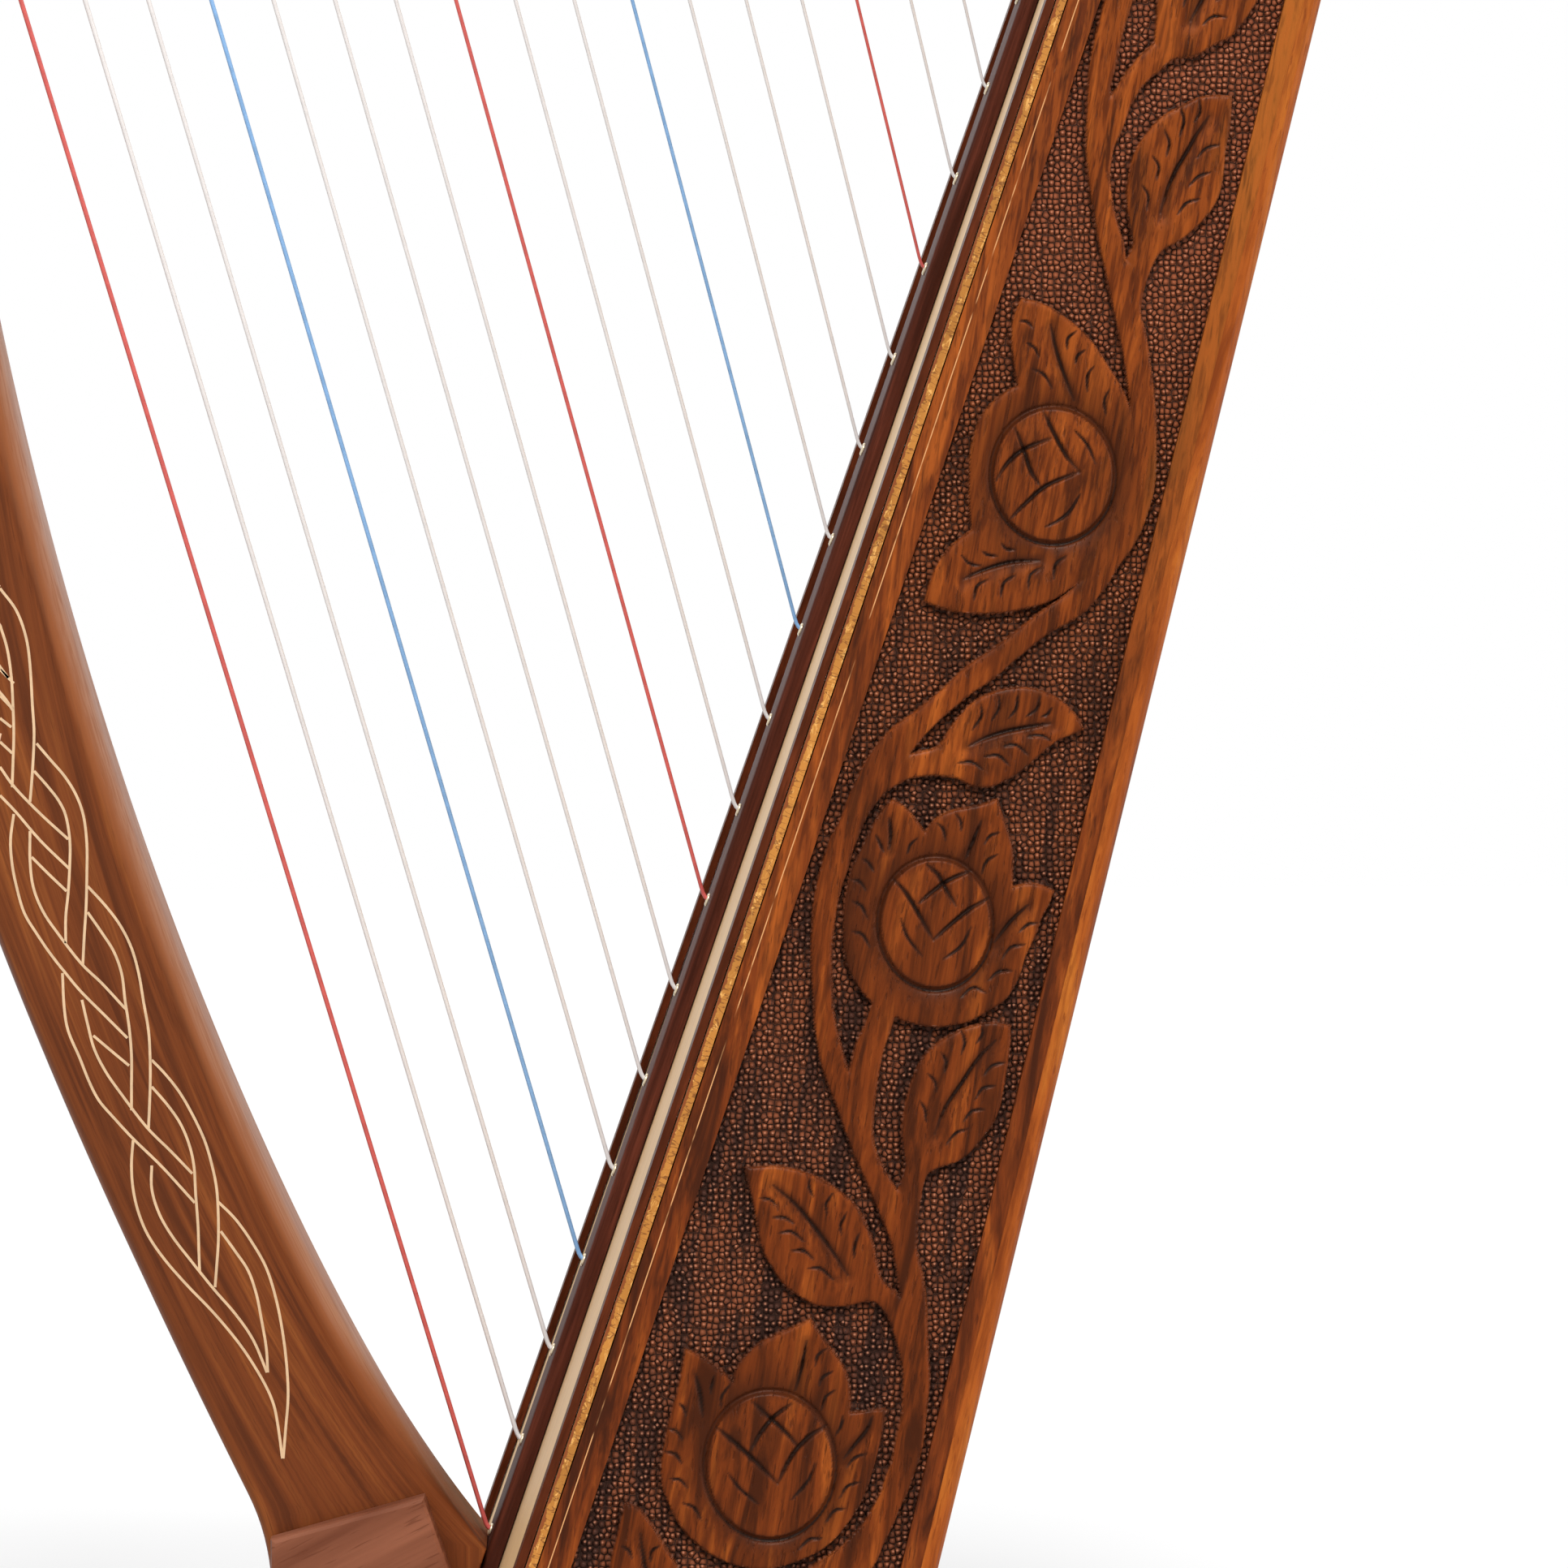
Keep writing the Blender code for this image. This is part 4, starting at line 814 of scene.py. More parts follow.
# Each leaf: its outline, its midrib and its side cuts
LEAVES = [
    {"outline": [[(1497, -80), (1466, -58), (1442, -30), (1428, 0), (1426, 20), (1424, 40),
      (1423, 54)], [(1400, 85), (1420, 92), (1443, 74), (1460, 70), (1475, 67), (1490, 58),
      (1500, 52), (1515, 45), (1525, 35), (1535, 22), (1543, 10), (1549, 0), (1558, -25),
      (1562, -50), (1566, -100)], [(1530, -92), (1497, -80)]],
     "ribs": [[(1540, -78), (1512, -48), (1490, -15), (1467, 25)]],
     "cuts": [[(1512, 21), (1495, 20), (1482, 30)], [(1528, -10), (1512, -10), (1499, 0)],
      [(1543, -42), (1528, -42), (1515, -32)], [(1455, -22), (1462, -8), (1458, 8)], [(1478, -48),
      (1484, -34), (1480, -18)], [(1503, -72), (1508, -60), (1503, -46)]]},
    {"outline": [[(1518, 118), (1495, 117), (1475, 121), (1455, 131), (1440, 138), (1425, 150),
      (1412, 165), (1402, 180), (1395, 200), (1391, 220), (1389, 240), (1390, 260), (1393, 280),
      (1397, 300), (1388, 320)], [(1400, 345), (1413, 345)], [(1418, 332), (1424, 319),
      (1432, 308), (1441, 302), (1453, 296), (1465, 287), (1478, 275), (1490, 262), (1500, 245),
      (1506, 225), (1509, 200), (1511, 180), (1515, 160), (1517, 140), (1518, 118)]],
     "ribs": [[(1490, 143), (1475, 165), (1462, 188), (1450, 208), (1440, 230), (1430, 262)]],
     "cuts": [[(1478, 122), (1479, 138), (1472, 150)], [(1455, 133), (1459, 150), (1453, 168)],
      [(1435, 160), (1441, 176), (1437, 193)], [(1420, 192), (1428, 205), (1425, 222)],
      [(1407, 228), (1415, 241), (1413, 260)], [(1503, 178), (1487, 182), (1475, 194)],
      [(1492, 212), (1477, 217), (1465, 229)], [(1478, 245), (1462, 250), (1451, 264)]]},
    {"outline": [[(1335, 898), (1329, 886), (1320, 874), (1305, 861), (1285, 851), (1265, 847),
      (1245, 848), (1220, 854), (1197, 867), (1180, 885), (1168, 902), (1157, 918), (1140, 926),
      (1121, 929)], [(1110, 960)], [(1120, 959), (1135, 956), (1150, 955), (1165, 956),
      (1180, 959), (1195, 967), (1210, 970), (1225, 968), (1245, 958), (1260, 948), (1275, 935),
      (1290, 922), (1305, 911), (1320, 905), (1335, 898)]],
     "ribs": [[(1295, 891), (1265, 896), (1240, 901), (1215, 909), (1194, 919)]],
     "cuts": [[(1209, 867), (1209, 883), (1198, 899)], [(1231, 857), (1231, 873), (1222, 888)],
      [(1254, 857), (1252, 873), (1243, 885)], [(1282, 857), (1278, 873), (1264, 883)],
      [(1296, 872), (1291, 880), (1283, 883)], [(1266, 907), (1283, 906), (1296, 913)],
      [(1236, 919), (1252, 918), (1267, 930)], [(1213, 932), (1230, 931), (1244, 943)],
      [(1180, 940), (1197, 939), (1211, 948)]]},
    {"outline": [[(1245, 1264), (1225, 1260), (1205, 1263), (1185, 1269), (1165, 1279),
      (1150, 1290), (1138, 1303), (1129, 1320), (1122, 1340), (1117, 1357), (1113, 1378),
      (1112, 1400), (1114, 1420), (1116, 1437), (1112, 1452), (1106, 1466)], [(1120, 1490),
      (1134, 1478)], [(1137, 1460), (1143, 1447), (1152, 1441), (1165, 1436), (1180, 1431),
      (1195, 1420), (1208, 1405), (1220, 1390), (1228, 1375), (1233, 1360), (1237, 1340),
      (1240, 1320), (1243, 1300), (1245, 1280), (1245, 1264)]],
     "ribs": [[(1227, 1282), (1205, 1305), (1185, 1335), (1165, 1365), (1152, 1397)]],
     "cuts": [[(1185, 1270), (1189, 1285), (1184, 1299)], [(1210, 1263), (1210, 1275),
      (1203, 1286)], [(1160, 1297), (1166, 1308), (1164, 1321)], [(1143, 1323), (1152, 1332),
      (1154, 1346)], [(1134, 1357), (1140, 1368), (1141, 1382)], [(1239, 1309), (1223, 1313),
      (1212, 1325)], [(1226, 1338), (1211, 1341), (1202, 1354)], [(1213, 1367), (1198, 1369),
      (1186, 1383)], [(1192, 1391), (1178, 1396), (1166, 1410)]]},
    {"outline": [[(918, 1439), (935, 1438), (955, 1437), (975, 1440), (995, 1446), (1015, 1455),
      (1035, 1468), (1050, 1481), (1062, 1497), (1070, 1515), (1077, 1535), (1080, 1552),
      (1084, 1570), (1091, 1582), (1101, 1590), (1109, 1598)], [(1112, 1640)], [(1095, 1622),
      (1085, 1610), (1075, 1604), (1060, 1605), (1045, 1609), (1025, 1610), (1005, 1608),
      (990, 1600), (975, 1590), (962, 1578), (952, 1562), (942, 1545), (936, 1525), (933, 1505),
      (928, 1480), (922, 1457), (918, 1439)]],
     "ribs": [[(953, 1461), (980, 1484), (1005, 1514), (1025, 1541), (1045, 1571)]],
     "cuts": [[(936, 1476), (948, 1478), (958, 1486)], [(952, 1500), (966, 1500), (979, 1508)],
      [(960, 1519), (976, 1518), (991, 1530)], [(975, 1541), (990, 1541), (1003, 1552)],
      [(996, 1563), (1011, 1563), (1027, 1577)], [(998, 1452), (997, 1463), (1002, 1475)],
      [(1026, 1470), (1018, 1484), (1019, 1497)], [(1043, 1494), (1036, 1510), (1037, 1522)],
      [(1059, 1519), (1053, 1535), (1053, 1551)]]},
    {"outline": [[(771, 1852), (785, 1858), (798, 1873), (810, 1890), (818, 1905), (828, 1920),
      (836, 1934), (848, 1965), (857, 2000), (862, 2030)], [(835, 2062)], [(805, 2052),
      (780, 2030), (763, 2002), (754, 1975), (751, 1945), (755, 1915), (763, 1885), (771, 1852)]],
     "ribs": [[(789, 1890), (793, 1920), (801, 1960), (818, 2002)]],
     "cuts": [[(766, 1905), (775, 1911), (779, 1921)], [(812, 1905), (803, 1912), (801, 1925)],
      [(761, 1938), (772, 1943), (780, 1954)], [(832, 1940), (821, 1948), (816, 1962)],
      [(765, 1970), (778, 1975), (789, 1988)], [(845, 1977), (833, 1985), (830, 1998)]]},
    {"outline": [[(1040, 2150), (1010, 2142), (983, 2128), (962, 2108), (950, 2082), (945, 2045)],
      [(975, 2015)], [(1000, 2030), (1022, 2050), (1037, 2078), (1043, 2112), (1040, 2150)]],
     "ribs": [[(1025, 2130), (1003, 2095), (980, 2055)]],
     "cuts": [[(1030, 2085), (1018, 2088), (1010, 2098)], [(1016, 2058), (1003, 2062),
      (995, 2072)], [(965, 2085), (975, 2087), (984, 2080)], [(982, 2112), (992, 2112),
      (1001, 2106)]]},
]

# Each rosebud: its outline, the oval disc's middle and half sizes, and its cuts
BUD_TOP = {
    "outline": [[(1259, 367), (1251, 385), (1247, 410), (1249, 440), (1254, 475)], [(1240, 482),
     (1222, 497), (1208, 515), (1201, 535), (1196, 560), (1195, 590), (1195, 620), (1198, 652)],
     [(1185, 662), (1170, 675), (1157, 692), (1148, 712), (1143, 728), (1140, 741)], [(1165, 750),
     (1195, 755), (1230, 755), (1260, 750), (1290, 742), (1312, 730), (1333, 714)], [(1352, 716),
     (1376, 680), (1398, 640), (1408, 590), (1406, 540), (1393, 504)], [(1388, 490), (1378, 470),
     (1362, 445), (1345, 420), (1325, 400), (1300, 382), (1280, 372), (1259, 367)]],
    "disc": (1298, 585, 75, 83),
    "grid": [[(1286, 507), (1300, 536), (1313, 560), (1330, 581)], [(1330, 581), (1290, 598),
     (1265, 619), (1246, 638)], [(1251, 527), (1262, 555), (1270, 580), (1283, 600)], [(1294, 540),
     (1262, 553), (1242, 570), (1228, 591)]],
    "arcs": [[(1324, 530), (1340, 548), (1350, 571)], [(1331, 609), (1318, 630), (1303, 642),
     (1288, 649)]],
    "ribs": [[(1295, 400), (1303, 435), (1313, 465), (1324, 493)], [(1187, 713), (1215, 701),
     (1247, 692), (1281, 690)]],
    "cuts": [[(1257, 395), (1266, 397), (1273, 404)], [(1265, 422), (1275, 429), (1280, 440)],
     [(1272, 454), (1287, 462), (1297, 479)], [(1326, 408), (1316, 417), (1315, 430)],
     [(1337, 431), (1328, 438), (1325, 448)], [(1348, 451), (1340, 463), (1340, 483)],
     [(1367, 480), (1361, 493), (1363, 512)], [(1185, 684), (1194, 694), (1209, 697)],
     [(1210, 679), (1218, 684), (1229, 685)], [(1234, 669), (1240, 676), (1252, 677)],
     [(1217, 714), (1204, 722), (1200, 739)], [(1250, 709), (1237, 718), (1233, 736)],
     [(1283, 699), (1270, 708), (1267, 726)], [(1314, 685), (1301, 695), (1298, 713)]],
}
BUD_MIDDLE = {
    "outline": [[(1075, 1236), (1059, 1218), (1048, 1198), (1042, 1178), (1040, 1150),
     (1040, 1120), (1044, 1095), (1050, 1070), (1060, 1050), (1069, 1030), (1080, 1010),
     (1090, 996), (1100, 985)], [(1112, 992), (1122, 1002), (1131, 1013), (1140, 1026)],
     [(1150, 1012), (1165, 1002), (1185, 996), (1208, 992), (1230, 984)], [(1234, 1000),
     (1240, 1018), (1246, 1035), (1249, 1055), (1248, 1075), (1248, 1093)], [(1264, 1089),
     (1281, 1090), (1299, 1098)], [(1292, 1115), (1283, 1132), (1277, 1150), (1270, 1165),
     (1263, 1180), (1258, 1197), (1250, 1215), (1240, 1230), (1225, 1241), (1210, 1250),
     (1195, 1258), (1175, 1263), (1155, 1265), (1135, 1263), (1115, 1258), (1102, 1252)],
     [(1090, 1275)], [(1075, 1236)]],
    "disc": (1153, 1138, 69, 80),
    "grid": [[(1101, 1083), (1116, 1100), (1132, 1126), (1150, 1158)], [(1150, 1158), (1175, 1136),
     (1195, 1120), (1218, 1107)], [(1196, 1073), (1170, 1084), (1150, 1098), (1132, 1113)],
     [(1142, 1065), (1156, 1078), (1166, 1096), (1178, 1116)]],
    "arcs": [[(1110, 1132), (1119, 1156), (1136, 1178)], [(1197, 1142), (1184, 1166),
     (1162, 1182)]],
    "ribs": [[(1096, 1008), (1098, 1028), (1096, 1046)], [(1209, 1012), (1200, 1035),
     (1190, 1058)], [(1267, 1115), (1246, 1135), (1226, 1161)]],
    "cuts": [[(1130, 1033), (1122, 1041), (1118, 1052)], [(1079, 1029), (1084, 1038),
     (1089, 1050)], [(1063, 1058), (1070, 1063), (1077, 1074)], [(1050, 1083), (1060, 1087),
     (1067, 1097)], [(1050, 1110), (1062, 1117), (1069, 1132)], [(1050, 1147), (1063, 1152),
     (1072, 1167)], [(1155, 1014), (1163, 1023), (1165, 1036)], [(1178, 1003), (1184, 1012),
     (1184, 1024)], [(1231, 1026), (1220, 1030), (1213, 1040)], [(1229, 1053), (1216, 1061),
     (1210, 1077)], [(1279, 1137), (1267, 1139), (1256, 1148)], [(1263, 1164), (1246, 1167),
     (1235, 1181)], [(1247, 1196), (1231, 1197), (1218, 1208)], [(1215, 1223), (1199, 1217),
     (1184, 1229)]],
}
BUD_LOW = {
    "outline": [[(845, 1663), (855, 1667), (870, 1675), (885, 1687), (897, 1697), (904, 1704)],
     [(906, 1690), (915, 1675), (928, 1662), (942, 1652), (960, 1643), (980, 1635), (999, 1625)],
     [(1008, 1640), (1018, 1655), (1030, 1670), (1040, 1685), (1046, 1702), (1048, 1720),
     (1047, 1741)], [(1062, 1740), (1076, 1738), (1091, 1737)], [(1088, 1760), (1083, 1785),
     (1078, 1803), (1073, 1820), (1066, 1840), (1056, 1860), (1044, 1878), (1030, 1895),
     (1012, 1910), (990, 1921), (965, 1930), (940, 1934), (910, 1930), (882, 1919), (862, 1905),
     (846, 1890), (835, 1875), (825, 1855), (817, 1835), (815, 1810), (818, 1788), (822, 1765),
     (828, 1740), (835, 1715), (840, 1690), (845, 1663)]],
    "disc": (949, 1806, 79, 90),
    "grid": [[(883, 1759), (910, 1782), (935, 1805), (958, 1828)], [(958, 1828), (975, 1795),
     (995, 1772), (1018, 1757)], [(975, 1730), (955, 1745), (938, 1765), (925, 1787)],
     [(928, 1728), (946, 1745), (965, 1762), (984, 1783)]],
    "arcs": [[(897, 1815), (912, 1835), (934, 1853)], [(1005, 1803), (995, 1826), (975, 1848)]],
    "ribs": [[(994, 1653), (988, 1685), (980, 1714)], [(857, 1694), (863, 1718), (866, 1746)],
     [(1075, 1746), (1068, 1763), (1055, 1779), (1040, 1798)]],
    "cuts": [[(1018, 1662), (1008, 1670), (1005, 1683)], [(1026, 1690), (1014, 1697),
     (1009, 1708)], [(1029, 1713), (1017, 1722), (1012, 1739)], [(1038, 1744), (1037, 1756),
     (1030, 1769)], [(900, 1706), (890, 1720), (888, 1736)], [(880, 1695), (877, 1707),
     (876, 1718)], [(837, 1729), (843, 1736), (845, 1745)], [(823, 1760), (834, 1764),
     (841, 1774)], [(820, 1789), (832, 1792), (840, 1803)], [(826, 1822), (838, 1824),
     (847, 1833)], [(841, 1852), (855, 1858), (864, 1873)], [(1068, 1791), (1053, 1797),
     (1044, 1808)], [(1060, 1826), (1044, 1832), (1035, 1846)], [(1042, 1859), (1028, 1862),
     (1018, 1876)], [(1013, 1896), (998, 1897), (983, 1910)]],
}


def moved_bud(bud, middle, scale):
    """A copy of a rosebud at another place and size, for the part above the photograph."""
    cx, cy, rx, ry = bud["disc"]
    copy = {"disc": (middle[0], middle[1], rx * scale, ry * scale)}
    for key in ("outline", "grid", "arcs", "ribs", "cuts"):
        copy[key] = [[(middle[0] + scale * (x - cx), middle[1] + scale * (y - cy))
                      for x, y in run] for run in bud[key]]
    return copy


BUDS = [BUD_TOP, BUD_MIDDLE, BUD_LOW, moved_bud(BUD_TOP, (1540, -330), 0.62)]

# The V cuts of a leaf and of a bud, in the order they are cut: which lines, width and depth in mm
LEAF_CUTS = (("ribs", 0.75, 0.85), ("cuts", 0.55, 0.60))
BUD_CUTS = (("ribs", 0.70, 0.80), ("cuts", 0.55, 0.60), ("grid", 0.85, 1.00),
            ("arcs", 0.60, 0.65))
DISC_SURROUND = 12 * MM
FIELD_LENGTH = 0.56
FIELD_WIDTH = 0.064
SLAB_SKIN = 0.05 * MM


# Carving of the field
def panel_points(points):
    return np.array([on_side_panel(x, y) for x, y in points])


def closed_outline(runs):
    """The outline's points on the panel, smooth within each run."""
    out = []
    start = runs[-1][-1]
    for run in runs:
        smooth = curve_through([(*p, 0) for p in [start] + run], 4)
        out += [(p.x, p.y) for p in smooth[:-1]]
        start = run[-1]
    return panel_points(out)


def segment_distances(points, line):
    """Each point's distance to a chain of segments, and the share along it of the nearest."""
    a, b = line[:-1], line[1:]
    length = np.linalg.norm(b - a, axis=1)
    before = np.concatenate(([0], np.cumsum(length)))[:-1]
    best = np.full(len(points), 1e9)
    share = np.zeros(len(points))
    for p, q, size, start in zip(a, b, length, before):
        step = (q - p) / max(size, 1e-9)
        along = np.clip((points - p) @ step, 0, size)
        apart = np.hypot(points[:, 0] - p[0] - along * step[0],
                         points[:, 1] - p[1] - along * step[1])
        nearer = apart < best
        best[nearer] = apart[nearer]
        share[nearer] = (start + along[nearer]) / length.sum()
    return best, share


def signed_distance(points, outline):
    """Distance to a closed outline, negative inside it."""
    ring = np.vstack([outline, outline[:1]])
    apart, _ = segment_distances(points, ring)
    inside = np.zeros(len(points), bool)
    for p, q in zip(ring[:-1], ring[1:]):
        if p[1] == q[1]:
            continue
        crosses = (points[:, 1] < p[1]) != (points[:, 1] < q[1])
        at = p[0] + (points[:, 1] - p[1]) / (q[1] - p[1]) * (q[0] - p[0])
        inside ^= crosses & (points[:, 0] < at)
    return np.where(inside, -apart, apart)


def smooth_share(value, low, high):
    share = np.clip((value - low) / (high - low), 0, 1)
    return share * share * (3 - 2 * share)


def near(points, outline, margin):
    low, high = outline.min(0) - margin, outline.max(0) + margin
    return np.nonzero(((points >= low) & (points <= high)).all(1))[0]


def v_cut(points, depth, cut, line, width, deep):
    """Cuts a tapered V along a line of the panel, deepest in its middle."""
    found = near(points, line, width)
    if not len(found):
        return
    apart, share = segment_distances(points[found], line)
    taper = np.sqrt(np.clip(np.sin(pi * np.clip(share, 0.02, 0.98)), 0, 1))
    side = np.clip(1 - apart / (width * (0.45 + 0.55 * taper)), 0, 1)
    depth[found] = depth[found] + deep * taper * side
    # Marks the V's bottom for painted shade.
    cut[found] = np.maximum(cut[found], smooth_share(side, 0.15, 0.60) * (0.5 + 0.5 * taper))


def pixel_line(points):
    """A smooth line on the panel through places in the photograph."""
    smooth = curve_through([(*p, 0) for p in points], 4)
    return panel_points([(p.x, p.y) for p in smooth])


def falling_off(beyond, reach):
    """1 at an edge and inside it, fading to 0 outside over some reach."""
    return np.exp(-np.clip(beyond, 0, None) / reach)


def disc_relief(points, raised, hollow):
    """Each bud's oval disc: a dome inside a cut ring, with the petals falling towards it.

    Gives back the hollows with the domes in them, the fall towards the rings, the rings' cuts,
    darkened as painted shade that is heavier on their lower side, and the painted shade in the bowl
    round them.
    """
    step, groove, bowl_shade = (np.zeros(len(points)) for _ in range(3))
    for bud in BUDS:
        cx, cy, rx, ry = bud["disc"]
        middle = np.array(on_side_panel(cx, cy))
        right = np.array(on_side_panel(cx + rx, cy)) - middle
        above = np.array(on_side_panel(cx, cy - ry)) - middle
        turn = np.linalg.inv(np.array([right, above]).T)
        place = (points - middle) @ turn.T
        radius = np.linalg.norm(place, axis=1)
        beyond = (radius - 1) * (np.linalg.norm(right) + np.linalg.norm(above)) / 2
        close = beyond < DISC_SURROUND
        on_bud = (raised < 0) & close
        inner = smooth_share(beyond, 0.25 * MM, -0.65 * MM)
        bowl = falling_off(beyond, 2.4 * MM) * close
        slot = np.exp(-((beyond - 0.55 * MM) / (0.32 * MM)) ** 2)
        facing = np.clip(place[:, 1] / np.maximum(radius, 0.1), -1, 1)
        fall = (1.20 * bowl + 0.40 * slot) * MM * (1 - inner)
        step = np.where(on_bud, np.maximum(step, fall), step)
        # Painted shade in the ring's groove, darker on its lower side and lighter on its upper
        # side, as light falls from above.
        ring = smooth_share(slot, 0.25, 0.80) * (0.72 - 0.50 * facing)
        groove = np.where(on_bud, np.maximum(groove, ring), groove)
        # Painted shade in the bowl round each disc, fading outwards.
        bowl_shade = np.maximum(bowl_shade, falling_off(beyond, 4.5 * MM) * (beyond > -0.5 * MM) * on_bud)
        dome = 0.45 * MM * np.clip(radius, 0, 1) ** 3 * inner
        hollow = np.where(inner > 0.5, dome, hollow * (1 - inner) + dome)
    return hollow, step, groove, bowl_shade


def carve(points, full_depth):
    """Depth below the border, and the masks for ground, for painted shade in the cuts, and for
    painted shade in hollows, round the discs and at the foot of the relief.
    """
    raised = np.full(len(points), 1e9)
    hollow, cut = np.zeros(len(points)), np.zeros(len(points))
    for runs in [VINE] + [shape["outline"] for shape in LEAVES + BUDS]:
        outline = closed_outline(runs)
        found = near(points, outline, 3 * MM)
        raised[found] = np.minimum(raised[found], signed_distance(points[found], outline))
    for rib in [rib for shape in LEAVES + BUDS for rib in shape["ribs"]]:
        line = pixel_line(rib)
        found = near(points, line, 9 * MM)
        apart, _ = segment_distances(points[found], line)
        reach = np.exp(-(apart / (2.6 * MM)) ** 2) * smooth_share(-raised[found], 0, 2.5 * MM)
        hollow[found] = np.maximum(hollow[found], 0.50 * MM * reach)
    hollow, step, groove, bowl_shade = disc_relief(points, raised, hollow)
    ground = smooth_share(raised, -0.10 * MM, 0.42 * MM)
    rounding = 0.45 * MM * np.exp(np.minimum(raised, 0) / (0.60 * MM)) * (raised < 0)
    depth = np.clip(hollow + step + rounding, 0, full_depth * 0.8)
    depth = depth * (1 - ground) + full_depth * ground
    for shapes, cutters in ((LEAVES, LEAF_CUTS), (BUDS, BUD_CUTS)):
        for shape in shapes:
            for key, width, deep in cutters:
                for line in shape[key]:
                    v_cut(points, depth, cut, pixel_line(line), width * MM, deep * MM)
    # The rings round the discs take their painted shade into the cut mask.
    cut = np.maximum(cut, groove * 0.95)
    # Painted shade in the bowls round the discs, in the hollows along the midribs, and on the
    # ground at the foot of the relief's walls.
    hollow_shade = 0.90 * bowl_shade + 0.50 * smooth_share(hollow, 0.28 * MM, 0.50 * MM)
    wall = 0.50 * smooth_share(raised, 1.5 * MM, 0.3 * MM)
    shade = np.clip(hollow_shade, 0, 0.85) * (1 - ground) + wall * ground
    return np.clip(depth, 0.03 * MM, full_depth + 0.2 * MM), ground, cut * (1 - ground), shade


def field_places(u, v):
    """Places in the sunk field by two shares: u runs upwards, v from front to back."""
    front = SIDE_FRONT + FIELD_FRONT_BORDER
    low = PANEL_BOTTOM + FIELD_END_BORDER
    high = PANEL_TOP - FIELD_END_BORDER
    low_front = board_at_height(low, front)
    low_back = back_at_height(low, FIELD_BACK_BORDER)
    a, b, c, d = np.array([(low_front, front), (high, front),
                           (high, back_inner_depth(high, FIELD_BACK_BORDER)),
                           (low_back, back_inner_depth(low_back, FIELD_BACK_BORDER))])
    u, v = u[:, None], v[:, None]
    return (1 - v) * ((1 - u) * a + u * b) + v * ((1 - u) * d + u * c)


def carved_strip(name, side, low, high, step, material):
    """One length of the carved field: a fine grid pressed to the relief, on a closed slab."""
    bm = bmesh.new()
    bmesh.ops.create_grid(bm, x_segments=max(int(FIELD_WIDTH / step), 2),
                          y_segments=max(int((high - low) * FIELD_LENGTH / step), 2), size=1)
    grid = np.array([v.co[:] for v in bm.verts])
    points = field_places(low + (high - low) * (grid[:, 1] + 1) / 2, (grid[:, 0] + 1) / 2)
    depth, *masks = carve(points, sizes().carving_depth)

    def placed(level):
        place = points[:, :1] * np.array(UP) + points[:, 1:] * np.array(INWARD)
        place[:, 1] = side * (BOX_HALF_WIDTH - WIDTH_TAPER * points[:, 0] - level)
        return place + np.array(HOME)

    floor = placed(np.full(len(points), FIELD_DEPTH - SLAB_SKIN))
    rim = [e for e in bm.edges if e.is_boundary]
    made = bmesh.ops.extrude_edge_only(bm, edges=rim)["geom"]
    walls = [g for g in made if isinstance(g, bmesh.types.BMVert)]
    bm.verts.index_update()
    nearest = {tuple(np.round(g, 6)): k for k, g in enumerate(grid)}
    lower = [nearest[tuple(np.round(np.array(v.co[:]), 6))] for v in walls]
    bmesh.ops.contextual_create(bm, geom=[e for e in bm.edges if e.is_boundary])
    places = np.array([v.co[:] for v in bm.verts])
    places[:len(grid)] = placed(depth)
    places[[v.index for v in walls]] = floor[lower]
    for vert, place in zip(bm.verts, places):
        vert.co = place
    mesh = finished_mesh(bm, name)
    for label, values in zip(("ground", "cut", "shade"), masks):
        rest = np.ones(len(mesh.vertices) - len(values)) * (label == "ground")
        attribute = mesh.attributes.new(label, "FLOAT", "POINT")
        attribute.data.foreach_set("value", np.concatenate([values, rest]))
    return new_object(name, mesh, [material], angle=75)


class HARP_OT_carving(bpy.types.Operator):
    """Carves the vine, leaves and rosebuds into both side panels"""
    bl_idname = "harp.carving"
    bl_label = "Carve Side Panels"

    def execute(self, context):
        material = carved_material()
        coarse = 1
        fine = sizes().grid_step
        for word, side, pieces, step in (("left", -1, 4, fine), ("right", 1, 2, fine * 1.5)):
            for k in range(pieces):
                carved_strip("carved_field_%s_%d" % (word, k + 1), side, k / pieces,
                             (k + 1) / pieces, step * coarse, material)
        return {"FINISHED"}


# Pillar and its inlay
def share_between(value, low, high):
    return min(max((value - low) / (high - low), 0), 1)


def lengths_along(points):
    """How far each point of a chain lies from the first."""
    along = [0.0]
    for a, b in zip(points, points[1:]):
        along.append(along[-1] + (b - a).length)
    return along


def pillar_edges():
    """Inner and outer edge of the pillar's curved part, foot first."""
    foot = board(board_at_height(PILLAR_FOOT_TOP, -GAP), 0, -GAP)
    top = Vector((INNER_TOP_X, 0, PILLAR_TOP))
    inner = bezier(foot, foot + 0.093 * lean_direction(radians(38.1)),
                   top - Vector((0, 0, 0.1864)), top, PILLAR_RINGS)
    outer_top = Vector((INNER_TOP_X - PILLAR_WIDTH, 0, PILLAR_TOP))
    outer = bezier(SHOULDER, SHOULDER + 0.150 * lean_direction(SHOULDER_LEAN),
                   outer_top - Vector((0, 0, 0.180)), outer_top, PILLAR_RINGS)
    return inner, outer


def pillar_half_thickness(z):
    """Half the pillar's thickness at a height: it eases into the neck's near the top."""
    share = min(max((z / PILLAR_TOP - 0.5) / 0.4, 0), 1)
    ease = share * share * (3 - 2 * share)
    return (PILLAR_THICKNESS + (NECK_THICKNESS - PILLAR_THICKNESS) * ease) / 2


